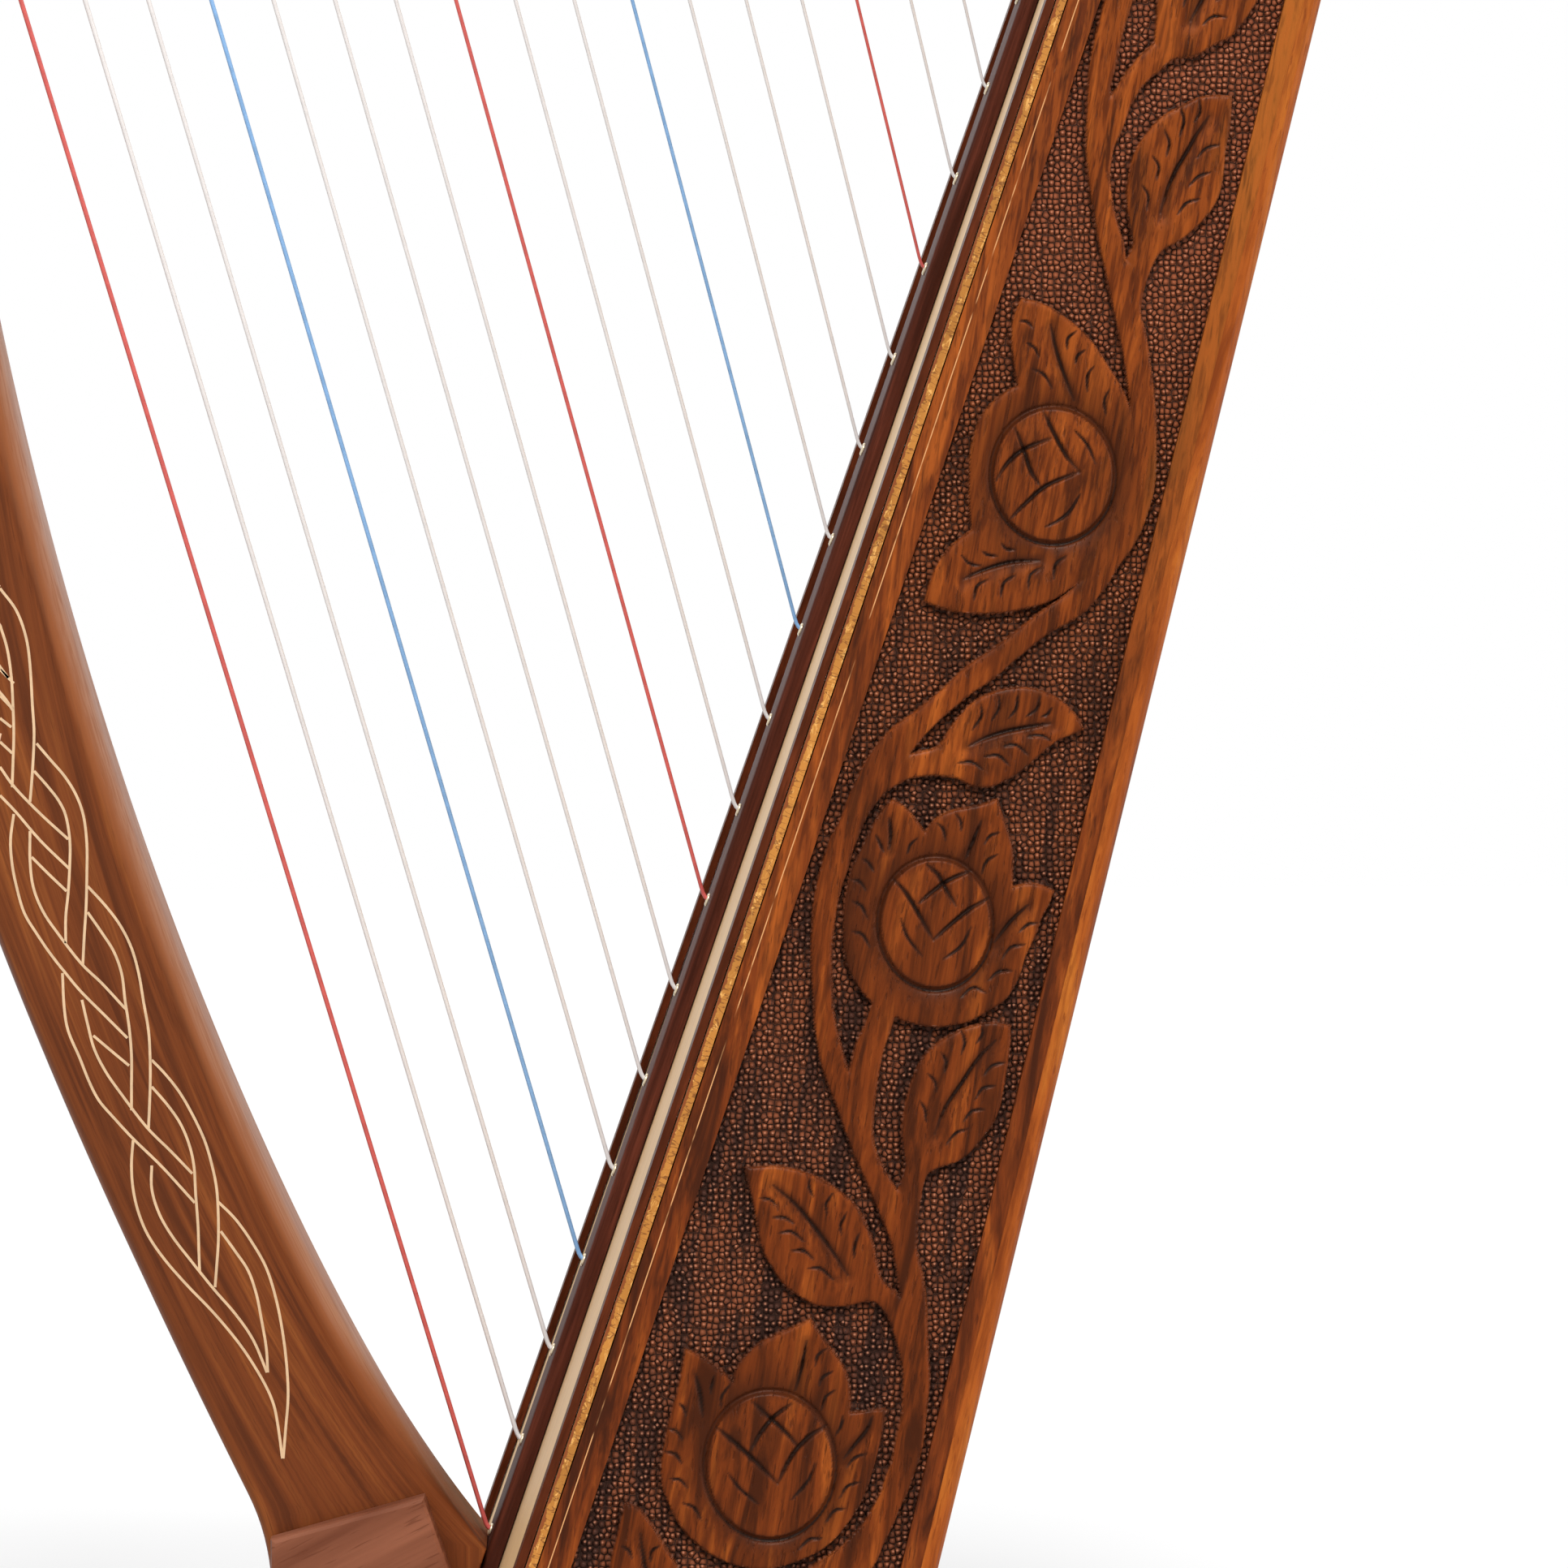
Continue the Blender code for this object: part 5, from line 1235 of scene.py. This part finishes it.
def pillar_face(point, inner, outer):
    """Half the pillar's thickness on the slice from outer to inner edge through a point."""
    levels = []
    for rear, front in zip(inner, outer):
        edge = rear - front
        levels.append(edge.x * (point.z - front.z) - edge.z * (point.x - front.x))
    for k in range(len(levels) - 1):
        if levels[k] >= 0 > levels[k + 1]:
            share = levels[k] / (levels[k] - levels[k + 1])
            a, b = (pillar_half_thickness(min(inner[j].z, outer[j].z)) for j in (k, k + 1))
            return a + (b - a) * share
    return pillar_half_thickness(point.z)


def rounded_section(front, rear, half, front_radius, rear_radius):
    """A rounded rectangle from the pillar's outer edge to its inner edge."""
    along = (rear - front).normalized()
    segments = 6
    ring = []
    for corner, u, v, radius, start in (
            (front, 1, -1, front_radius, 180), (rear, -1, -1, rear_radius, 270),
            (rear, -1, 1, rear_radius, 0), (front, 1, 1, front_radius, 90)):
        centre = corner + u * radius * along + v * (half - radius) * ACROSS
        for s in range(segments + 1):
            a = radians(start + 90 * s / segments)
            ring.append(centre + radius * (cos(a) * along + sin(a) * ACROSS))
    return ring


class HARP_OT_pillar(bpy.types.Operator):
    """Lofts the curved pillar with its soft inner edge"""
    bl_idname = "harp.pillar"
    bl_label = "Pillar"

    def execute(self, context):
        inner, outer = pillar_edges()
        turn = bezier(FOOT_KNEE, FOOT_KNEE + Vector((0, 0, 0.010)),
                      outer[0] - 0.010 * lean_direction(SHOULDER_LEAN), outer[0], 11)
        pairs = [(Vector((FOOT_KNEE.x, 0, PANEL_BOTTOM)), PANEL_BOTTOM)]
        for k, point in enumerate(turn[:-1]):
            share = (k + 1) / len(turn)
            pairs.append((point, PANEL_BOTTOM + (inner[0].z - PANEL_BOTTOM) * share))
        rings = [rounded_section(p, board(board_at_height(z, -GAP), 0, -GAP),
                                 PILLAR_THICKNESS / 2, ARRIS_RADIUS, REAR_ARRIS_RADIUS)
                 for p, z in pairs]
        for k, (front, rear) in enumerate(zip(outer, inner)):
            half = pillar_half_thickness(min(front.z, rear.z))
            ease = min(k / 14, 1)
            rings.append(rounded_section(front, rear, half, ARRIS_RADIUS + 0.003 * ease,
                                         REAR_ARRIS_RADIUS + 0.0097 * ease))
        bm = bmesh.new()
        swept(bm, rings)
        # The last two tones paint the highlight on the pillar's inner edge.
        wood = wood_material(
            "Pillar Walnut",
            ((0.092, 0.024, 0.008), (0.166, 0.043, 0.012), (0.262, 0.077, 0.019)),
            roughness=0.45, shine=0.12, lines=0.38,
            worn=((0.300, 0.102, 0.040), (0.460, 0.238, 0.150)))
        piece = new_object("curved_pillar", mesh_from(bm, "curved_pillar"), [wood], angle=50)
        self.lay_grain(piece.data, len(rings[0]), [p for p, _ in pairs] + outer)
        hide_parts("pillar")
        return {"FINISHED"}

    @staticmethod
    def lay_grain(mesh, ring_size, front):
        """Keeps each point's place across and along the pillar for the grain, and a painted
        highlight.

        The inner edge is painted paler as a painted highlight, less so up the pillar and at its
        foot.
        """
        values, worn = [], []
        for k, (corner, along) in enumerate(zip(front, lengths_along(front))):
            ring = mesh.vertices[k * ring_size:(k + 1) * ring_size]
            widths = [(vert.co - HOME - corner).xz.length for vert in ring]
            for vert, across in zip(ring, widths):
                values += [across, vert.co.y, along + 0.3 * across]
                height = vert.co.z - HOME.z
                rise = share_between(height, 0.10, 0.30)
                # A painted highlight along the inner edge, fading inwards from it.
                share = min(max(1 - (max(widths) - across) / (0.0100 - 0.0030 * rise), 0), 1)
                worn.append(share * share_between(height, 0.005, 0.055) * (1 - 0.22 * rise))
        grain = mesh.attributes.new("grain", "FLOAT_VECTOR", "POINT")
        grain.data.foreach_set("vector", values)
        mesh.attributes.new("worn", "FLOAT", "POINT").data.foreach_set("value", worn)


# Pale lines of the braid, traced in pixels of the photograph
BRAID = [
    [(0, 725), (20, 752), (32, 785), (37, 820), (40, 870), (42, 905), (40, 950), (37, 988)],
    [(0, 770), (9, 800), (14, 835), (16, 870), (17, 905), (16, 940), (15, 970)],
    [(45, 916), (62, 936), (80, 957), (94, 980), (103, 1006), (107, 1040), (107, 1080),
     (106, 1120), (104, 1150), (102, 1190)],
    [(42, 950), (58, 968), (72, 986), (81, 1005), (86, 1035), (86, 1065), (84, 1100), (81, 1130),
     (81, 1162)],
    [(0, 945), (18, 970), (50, 1003), (84, 1034)],
    [(0, 980), (20, 1001), (50, 1036), (85, 1070)],
    [(39, 1056), (60, 1077), (82, 1098)],
    [(17, 1003), (13, 1035), (15, 1065), (21, 1095), (30, 1125), (45, 1150), (62, 1175),
     (80, 1198), (100, 1222), (130, 1252), (157, 1279)],
    [(37, 1024), (37, 1060), (41, 1093), (53, 1123), (72, 1151), (100, 1187), (125, 1211),
     (150, 1238), (156, 1244)],
    [(108, 1092), (130, 1116), (148, 1140), (162, 1168), (171, 1200), (177, 1235), (183, 1270),
     (185, 1305), (185, 1340), (183, 1390)],
    [(108, 1124), (124, 1147), (140, 1172), (150, 1200), (154, 1232), (159, 1265), (162, 1300),
     (162, 1340), (162, 1368)],
    [(115, 1276), (135, 1293), (159, 1313)],
    [(77, 1199), (79, 1240), (84, 1270), (98, 1303), (110, 1333), (122, 1356), (140, 1377),
     (165, 1404), (200, 1438), (240, 1482)],
    [(101, 1232), (108, 1262), (116, 1292), (130, 1320), (148, 1346), (180, 1388), (210, 1418),
     (237, 1446)],
    [(187, 1306), (205, 1325), (222, 1347), (238, 1375), (252, 1405), (261, 1435), (267, 1465),
     (269, 1500), (269, 1530), (267, 1560), (265, 1586)],
    [(187, 1339), (206, 1361), (222, 1384), (233, 1410), (239, 1437), (241, 1470), (244, 1510),
     (245, 1540), (246, 1567)],
    [(164, 1405), (162, 1435), (164, 1465), (171, 1495), (183, 1523), (203, 1552), (230, 1583),
     (260, 1614), (285, 1643), (305, 1670), (325, 1703), (337, 1730), (343, 1760), (348, 1797)],
    [(187, 1436), (187, 1465), (196, 1495), (212, 1523), (235, 1553), (264, 1589), (290, 1619),
     (312, 1651), (329, 1691)],
    [(268, 1480), (290, 1502), (310, 1530), (328, 1562), (340, 1600), (348, 1640), (353, 1680),
     (355, 1720), (352, 1760), (349, 1797)],
    [(272, 1517), (290, 1542), (306, 1566), (316, 1595), (322, 1625), (328, 1660), (330, 1691)],
]
BRAID_HATCH = [[(0, 825), (17, 842)], [(0, 857), (16, 874)], [(0, 885), (14, 896)], [(0, 914),
    (15, 928)]]

# One bow of the braid, in mm: how far up the pillar from its crest, and how far to the right.
# The left bows mirror it about the braid's middle. It carries the braid on above the photograph.
BOW_OUTER = [(18, 5.0), (13, 7.2), (8, 9.1), (2, 10.1), (-3, 10.0), (-9, 8.7), (-16, 6.1),
    (-24, 3.2), (-30, 1.0), (-37, -2.2), (-41, -3.4)]
BOW_INNER = [(12, 2.6), (7, 4.4), (2, 5.7), (-4, 5.9), (-9, 4.6), (-14, 2.9), (-21, 0.3),
    (-27, -2.4), (-33, -4.6)]
BOW_HATCH = [[(-4, 1.2), (-9, 4.2)], [(-9, -0.8), (-14, 2.0)], [(-14, -2.6), (-18, -0.6)]]
BRAID_MIDDLE = -0.65
BOW_PITCH = 41.2
RIGHT_CREST = 231
LEFT_CREST = 215
BRAID_TIP = 470

# The braid's pointed end: each line's last crest, its start, and its places beyond that crest
BRAID_END = (
    (RIGHT_CREST, (BRAID_TIP, -0.6), ((56, 1.6), (47, 4.2), (36, 5.4), (25, 4.6), (14, 1.8),
                                      (6, -1.0))),
    (RIGHT_CREST, (BRAID_TIP - 14, 0.2), ((48, 1.4), (38, 2.2), (28, 1.0), (19, -1.2),
                                          (12, -3.6))),
    (LEFT_CREST, (BRAID_TIP, -0.6), ((66, -3.0), (54, -5.6), (42, -7.0), (30, -6.9),
                                     (18, -6.3))),
    (LEFT_CREST, (BRAID_TIP - 14, -0.4), ((60, -1.6), (50, -3.4), (40, -4.4), (26, -4.2),
                                          (12, -3.9))))


def upper_braid(middles):
    """The braid above the photograph: bows on both sides, and a pointed end below the neck."""
    lines = [[(250, 5.0), (245, 7.5)], [(243, 2.6), (238, 4.4), (236, 5.0)]]
    crests = [(LEFT_CREST, -1)]
    for k in range(1, 5):
        crests += [(RIGHT_CREST + BOW_PITCH * k, 1), (LEFT_CREST + BOW_PITCH * k, -1)]
    for crest, side in crests:
        for bow in (BOW_OUTER, BOW_INNER, *BOW_HATCH):
            line = [(crest + up, BRAID_MIDDLE + side * (right - BRAID_MIDDLE))
                    for up, right in bow]
            if crest == LEFT_CREST:
                cut_off = -18 if bow is BOW_OUTER else -12
                line = [p for p in line if p[0] >= crest + cut_off]
            if len(line) > 1:
                lines.append(line)
    for crest, start, line in BRAID_END:
        lines.append([start] + [(crest + BOW_PITCH * 4 + up, right) for up, right in line])
    along = lengths_along(middles)
    placed = []
    for line in lines:
        points = []
        for up, right in line:
            k = max(j for j, place in enumerate(along[:-1]) if place <= up * MM)
            ahead = (middles[k + 1] - middles[k]).normalized()
            point = middles[k] + (up * MM - along[k]) * ahead + right * MM * right_of(ahead)
            points.append((point.x, point.z))
        placed.append(points)
    return placed


class HARP_OT_inlay(bpy.types.Operator):
    """Lays the pale braid into both faces of the pillar"""
    bl_idname = "harp.inlay"
    bl_label = "Pillar Inlay"

    def execute(self, context):
        inner, outer = pillar_edges()
        middles = [(a + b) / 2 for a, b in zip(inner, outer)]
        lines = [[on_pillar_face(x, y) for x, y in line] for line in BRAID + BRAID_HATCH]
        lines += upper_braid(middles)
        half = sizes().inlay_width / 2
        material = plain_material("Maple Inlay", colours().inlay, 0.42, shine=0.15)
        for word, side in (("left", -1), ("right", 1)):
            bm = bmesh.new()
            for number, line in enumerate(lines):
                self.strip(bm, line, side, half, (0.04 + 0.006 * (number % 5)) * MM,
                           inner, outer)
            new_object("braid_inlay_" + word, mesh_from(bm, "braid_inlay_" + word), [material])
        return {"FINISHED"}

    @staticmethod
    def strip(bm, line, side, half, proud, inner, outer):
        """A thin flat strip along a line of the pillar's face, sunk but for its skin."""
        path = curve_through([Vector((x, 0, z)) for x, z in line], 5)
        rings = []
        for k, point in enumerate(path):
            ahead = (path[min(k + 1, len(path) - 1)] - path[max(k - 1, 0)]).normalized()
            across = half * right_of(ahead)
            face = pillar_face(point, inner, outer)
            rings.append([point + way * across + side * (face + level) * ACROSS
                          for way, level in ((-1, -0.3 * MM), (1, -0.3 * MM), (1, proud),
                                             (-1, proud))])
        swept(bm, rings)


# Strings, their eyelets, windings and pins. A knot is a chain of places below the inner rib
# and radii, where 0 stands for the string's own.
KNOT = ((0.0056, 0), (0.0040, 0), (0.0036, 0.0015), (0.0026, 0.0022), (0.0014, 0.0022),
        (0.0004, 0.0015), (0, 0))
RIB_BEND = 0.001
EYELET_RADIUS = 0.00125
EYELET_WIRE_RADIUS = 0.0004


def string_colour(i, materials):
    """Red for C, blue for F, as harps have them."""
    return materials[{0: "red", 3: "blue"}.get((i - 1) % OCTAVE, "clear")]


class HARP_OT_strings(bpy.types.Operator):
    """Strings with their knots, and brass eyelets in the string rib"""
    bl_idname = "harp.strings"
    bl_label = "Strings and Eyelets"

    def execute(self, context):
        nylon = {word: plain_material(word.title() + " Nylon", getattr(colours(), word + "_string"),
                                      0.3, change=change, height=0.0)
                 for word, change in (("red", 0.15), ("blue", 0.15), ("clear", 0.05))}
        side = string_side() * ACROSS
        for i in range(1, STRING_COUNT + 1):
            radius = string_radius(i)
            start = entry(i)
            contact = bridge_contact(i) + side
            end = winding_contact(i) + side
            above = start - RIB_BEND * INWARD
            rise = (contact - above).normalized()
            arc = bezier(start + 0.002 * INWARD, start - 0.5 * RIB_BEND * INWARD,
                         above, above + 0.003 * rise, 6)
            over = bezier(contact - 0.002 * rise, contact, contact,
                          contact + 0.002 * (end - contact).normalized(), 5)
            knot = [start + (INNER_RIB_END + GAP + place) * INWARD for place, _ in KNOT]
            points = knot + arc + over + [end]
            radii = [max(radius, own) for _, own in KNOT]
            radii += [radius] * (len(points) - len(radii))
            name = "string_%02d" % i
            mesh = round_tube("nylon_" + name, points, radii)
            piece = new_object("nylon_" + name, mesh, [string_colour(i, nylon)])
            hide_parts(name)
            self.winding(i, radius, string_colour(i, nylon))
        profile = [(EYELET_RADIUS + EYELET_WIRE_RADIUS * cos(a), EYELET_WIRE_RADIUS * sin(a))
                   for a in [2 * pi * k / 10 for k in range(11)]]
        bm = bmesh.new()
        for i in range(1, STRING_COUNT + 1):
            turned(bm, profile, entry(i) - 0.0002 * INWARD, INWARD, 18)
        brass = plain_material("Eyelet Brass", (0.78, 0.66, 0.46), 0.3, metallic=0.6)
        new_object("eyelets", mesh_from(bm, "eyelets"), [brass])
        return {"FINISHED"}

    @staticmethod
    def winding(i, radius, material):
        """Turns of string on the tuning pin, from where the string meets it to its hole."""
        centre = tuning_pin(i)
        arm = (winding_contact(i) - centre).normalized()
        around = right_of(arm) * -1
        turns = sizes().string_turns
        reach = TUNING_PIN_RADIUS + radius * 0.95
        steps = int(turns * 20)
        points = []
        for k in range(steps + 1):
            a = 2 * pi * turns * k / steps
            y = string_side() + 2.15 * radius * turns * k / steps
            points.append(centre + reach * (cos(a) * arm + sin(a) * around) + y * ACROSS)
        name = "winding_%02d" % i
        mesh = round_tube(name, points, [radius] * len(points), 2)
        new_object(name, mesh, [material], "pin_%02d" % i)


class HARP_OT_pins(bpy.types.Operator):
    """Steel tuning pins with squared heads, and brass bridge pins"""
    bl_idname = "harp.pins"
    bl_label = "Pins"

    def execute(self, context):
        steel = plain_material("Nickelled Steel", (0.47, 0.46, 0.45), 0.26, metallic=1.0)
        brass = plain_material("Bridge Brass", (0.78, 0.56, 0.25), 0.26, metallic=1.0)
        for i in range(1, STRING_COUNT + 1):
            bm = bmesh.new()
            self.tuning_pin(bm, tuning_pin(i))
            name = "steel_pin_%02d" % i
            piece = new_object(name, mesh_from(bm, name), [steel], "pin_%02d" % i, 35)
            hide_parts("tuning_pin_%02d" % i)
        bm = bmesh.new()
        face = -NECK_THICKNESS / 2
        groove = string_side()
        profile = [(0, face + 0.001), (0.0017, face + 0.001), (0.0017, groove + 0.0012),
                   (0.0013, groove + 0.0006), (0.00125, groove), (0.0013, groove - 0.0006),
                   (0.0017, groove - 0.0012), (0.0017, face - 0.0088), (0.0014, face - 0.0094),
                   (0, face - 0.00948)]
        for i in range(1, STRING_COUNT + 1):
            turned(bm, profile, bridge_pin(i), ACROSS, 16)
        new_object("brass_bridge_pins", mesh_from(bm, "brass_bridge_pins"), [brass])
        return {"FINISHED"}

    @staticmethod
    def tuning_pin(bm, centre):
        """A turned shank whose far end is squared and slightly tapered."""
        face = NECK_THICKNESS / 2
        sides = 24
        angles = [2 * pi * (k + 0.5) / sides for k in range(sides)]
        rings = []
        for y, radius in ((-face - 0.0150, 0.0017), (-face - 0.0148, 0.0024),
                          (-face - 0.0142, 0.0029), (-face - 0.0136, TUNING_PIN_RADIUS),
                          (face + 0.0080, TUNING_PIN_RADIUS)):
            rings.append([centre + y * ACROSS + radius * Vector((cos(a), 0, sin(a)))
                          for a in angles])
        for y, half in ((0.0095, 0.0021), (0.0155, 0.00186), (0.0160, 0.0014)):
            rings.append([centre + (face + y) * ACROSS
                          + half / max(abs(cos(a)), abs(sin(a))) * Vector((cos(a), 0, sin(a)))
                          for a in angles])
        swept(bm, rings)


class HARP_OT_joints(bpy.types.Operator):
    """Glue lines that close the joints between the side panels and the back"""
    bl_idname = "harp.joints"
    bl_label = "Back Joints"

    def execute(self, context):
        material = side_material()
        low = back_at_height(PANEL_BOTTOM, BACK_THICKNESS) + 0.5 * MM
        high = PANEL_TOP - 0.5 * MM
        clear = 0.00002
        edges = ((0.03 * MM, GAP - clear), (0.03 * MM, clear), (3 * MM, clear),
                 (3 * MM, GAP - clear))
        for word, side in (("left", -1), ("right", 1)):
            rings = []
            for t in (low, high):
                outer = back_inner_depth(t, BACK_THICKNESS)
                rings.append([board(t, side * (half_width(t) - inset), outer - short)
                              for inset, short in edges])
            bm = bmesh.new()
            swept(bm, rings)
            name = "back_joint_" + word
            new_object(name, mesh_from(bm, name), [material])
        return {"FINISHED"}


# Finishes of the solids that stay
class HARP_OT_finishes(bpy.types.Operator):
    """Gives the harp's plain solids their woods"""
    bl_idname = "harp.finishes"
    bl_label = "Wood Finishes"

    def execute(self, context):
        tones = colours()
        dark, middle, light = tones.walnut_dark, tones.walnut, tones.walnut_light
        rib, trim = tones.rosewood, tones.trim
        sides, board_ply = side_material(), ply_material()
        finishes = (
            (sides, ("side_left", "side_right")),
            (board_ply, ("soundboard",)),
            (wood_material("String Rib Rosewood", (toned(rib, 0.55), rib, toned(rib, 1.8)),
                           BOARD_LEAN, 0.003, 0.55, 0.06), ("string_rib",)),
            (wood_material("Trim Rosewood", (toned(trim, 0.6), trim, toned(trim, 1.6)),
                           BOARD_LEAN, 0.003, 0.45, 0.07), ("edge_trim_left", "edge_trim_right")),
            (wood_material("Back Walnut", (middle, light, tones.sapwood),
                           radians(14), 0.008, 0.38, 0.1), ("back_panel",)),
            (wood_material("Neck Walnut", ((0.090, 0.023, 0.007), (0.168, 0.042, 0.010),
                                           (0.285, 0.082, 0.016)),
                           radians(78), 0.009, 0.40, 0.1), ("neck",)),
            (wood_material("Base Walnut", (dark, middle, light),
                           radians(90), 0.009, 0.4, 0.1), ("base", "top_block")),
            (wood_material("Cheek Walnut", ((0.126, 0.038, 0.019), (0.198, 0.069, 0.037),
                                            (0.275, 0.102, 0.057)),
                           radians(64), 0.020, 0.40, 0.14, 0.16),
             ("base_cheek_left", "base_cheek_right")),
            (wood_material("Inner Wood", ((0.30, 0.17, 0.08), (0.42, 0.26, 0.14),
                                          (0.52, 0.35, 0.20)),
                           BOARD_LEAN, 0.006, 0.65, 0.0),
             ("inner_rib", "back_brace_1", "back_brace_2")))
        for material, nodes in finishes:
            for node in nodes:
                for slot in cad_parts[node].material_slots:
                    slot.material = material
        return {"FINISHED"}


class HARP_OT_stage(bpy.types.Operator):
    """Floor, backdrop light, lamps and the camera"""
    bl_idname = "harp.stage"
    bl_label = "Stage and Camera"

    def execute(self, context):
        scene = context.scene
        scene.view_settings.view_transform = "Standard"
        self.world(scene)
        self.floor(scene)
        for name, strength, spread_angle, direction in (
                ("key", 3.05, 14, (-0.05, 0.63, -0.80)), ("fill", 1.1, 40, (-0.93, 0.28, -0.22)),
                ("back", 0.5, 60, (0.1, -0.8, -0.5))):
            lamp = bpy.data.lights.new(name, "SUN")
            lamp.energy = strength
            lamp.angle = radians(spread_angle)
            obj = bpy.data.objects.new(name, lamp)
            obj.rotation_mode = "QUATERNION"
            obj.rotation_quaternion = Vector(direction).to_track_quat("-Z", "Y")
            scene.collection.objects.link(obj)
        camera = bpy.data.objects.new("camera", bpy.data.cameras.new("camera"))
        camera.data.sensor_width = 36
        camera.data.lens = 36 * CAMERA_REACH / PHOTO_SIZE
        camera.location = CAMERA_PLACE + HOME
        camera.rotation_euler = (radians(90) + CAMERA_PITCH, 0, -CAMERA_YAW)
        camera.data.clip_start = 0.05
        scene.collection.objects.link(camera)
        scene.camera = camera
        return {"FINISHED"}

    @staticmethod
    def choose_by_ray(tree, light, backdrop, out):
        """Shows one shader to the light's own rays, and another, as the white backdrop, to
        those of the camera, of reflections and through glass."""
        path = tree.nodes.new("ShaderNodeLightPath")
        seen = math_node(tree, "MAXIMUM", path.outputs["Is Camera Ray"],
                         math_node(tree, "MAXIMUM", path.outputs["Is Glossy Ray"],
                                   path.outputs["Is Transmission Ray"]))
        mix = add_node(tree, "ShaderNodeMixShader", n0=seen, n1=light.outputs[0],
                       n2=backdrop.outputs[0])
        tree.links.new(mix.outputs[0], out.inputs[0])

    def world(self, scene):
        """Soft light from all round, and plain white behind the harp."""
        world = bpy.data.worlds.new("studio")
        scene.world = world
        world.use_nodes = True
        tree = world.node_tree
        tree.nodes.clear()
        light, white = (add_node(tree, "ShaderNodeBackground", Color=(1, 1, 1), Strength=strength)
                        for strength in (0.36, 1.0))
        self.choose_by_ray(tree, light, white, tree.nodes.new("ShaderNodeOutputWorld"))

    def floor(self, scene):
        """A wide pale floor that keeps the harp's shadow."""
        bm = bmesh.new()
        bmesh.ops.create_grid(bm, x_segments=1, y_segments=1, size=6)
        mesh = bpy.data.meshes.new("floor")
        bm.to_mesh(mesh)
        bm.free()
        floor = bpy.data.objects.new("floor", mesh)
        floor.location.z = -0.0005
        scene.collection.objects.link(floor)
        material, tree, shader = start_material("Pale Floor", 0.9, 0.0)
        feed(tree, shader.inputs["Base Color"], (0.84, 0.84, 0.84))
        lit = add_node(tree, "ShaderNodeBsdfDiffuse", Color=(0.34, 0.34, 0.34))
        glow = add_node(tree, "ShaderNodeEmission", Color=(1, 1, 1), Strength=0.595)
        both = add_node(tree, "ShaderNodeAddShader", n0=lit.outputs[0], n1=glow.outputs[0])
        self.choose_by_ray(tree, shader, both, tree.nodes["Material Output"])
        mesh.materials.append(material)


class HARP_PT_panel(bpy.types.Panel):
    """The harp's sizes, colours and pieces"""
    bl_label = "Carved Frame Harp"
    bl_idname = "HARP_PT_panel"
    bl_space_type = "VIEW_3D"
    bl_region_type = "UI"
    bl_category = "Harp"

    def draw(self, context):
        column = self.layout.column()
        for group in (context.scene.harp_sizes, context.scene.harp_colours):
            for key in group.__annotations__:
                column.prop(group, key)
        for operator in OPERATORS:
            column.operator(operator.bl_idname)


OPERATORS = (HARP_OT_stage, HARP_OT_finishes, HARP_OT_carving, HARP_OT_pillar, HARP_OT_inlay,
             HARP_OT_joints, HARP_OT_strings, HARP_OT_pins)
CLASSES = (HarpSizes, HarpColours) + OPERATORS + (HARP_PT_panel,)


def register():
    for cls in CLASSES:
        bpy.utils.register_class(cls)
    bpy.types.Scene.harp_sizes = bpy.props.PointerProperty(type=HarpSizes)
    bpy.types.Scene.harp_colours = bpy.props.PointerProperty(type=HarpColours)


def unregister():
    del bpy.types.Scene.harp_colours
    del bpy.types.Scene.harp_sizes
    for cls in reversed(CLASSES):
        bpy.utils.unregister_class(cls)


def main():
    register()
    bpy.ops.harp.stage()
    bpy.ops.harp.finishes()
    bpy.ops.harp.carving()
    bpy.ops.harp.pillar()
    bpy.ops.harp.inlay()
    bpy.ops.harp.joints()
    bpy.ops.harp.strings()
    bpy.ops.harp.pins()


if __name__ == "__main__":
    main()
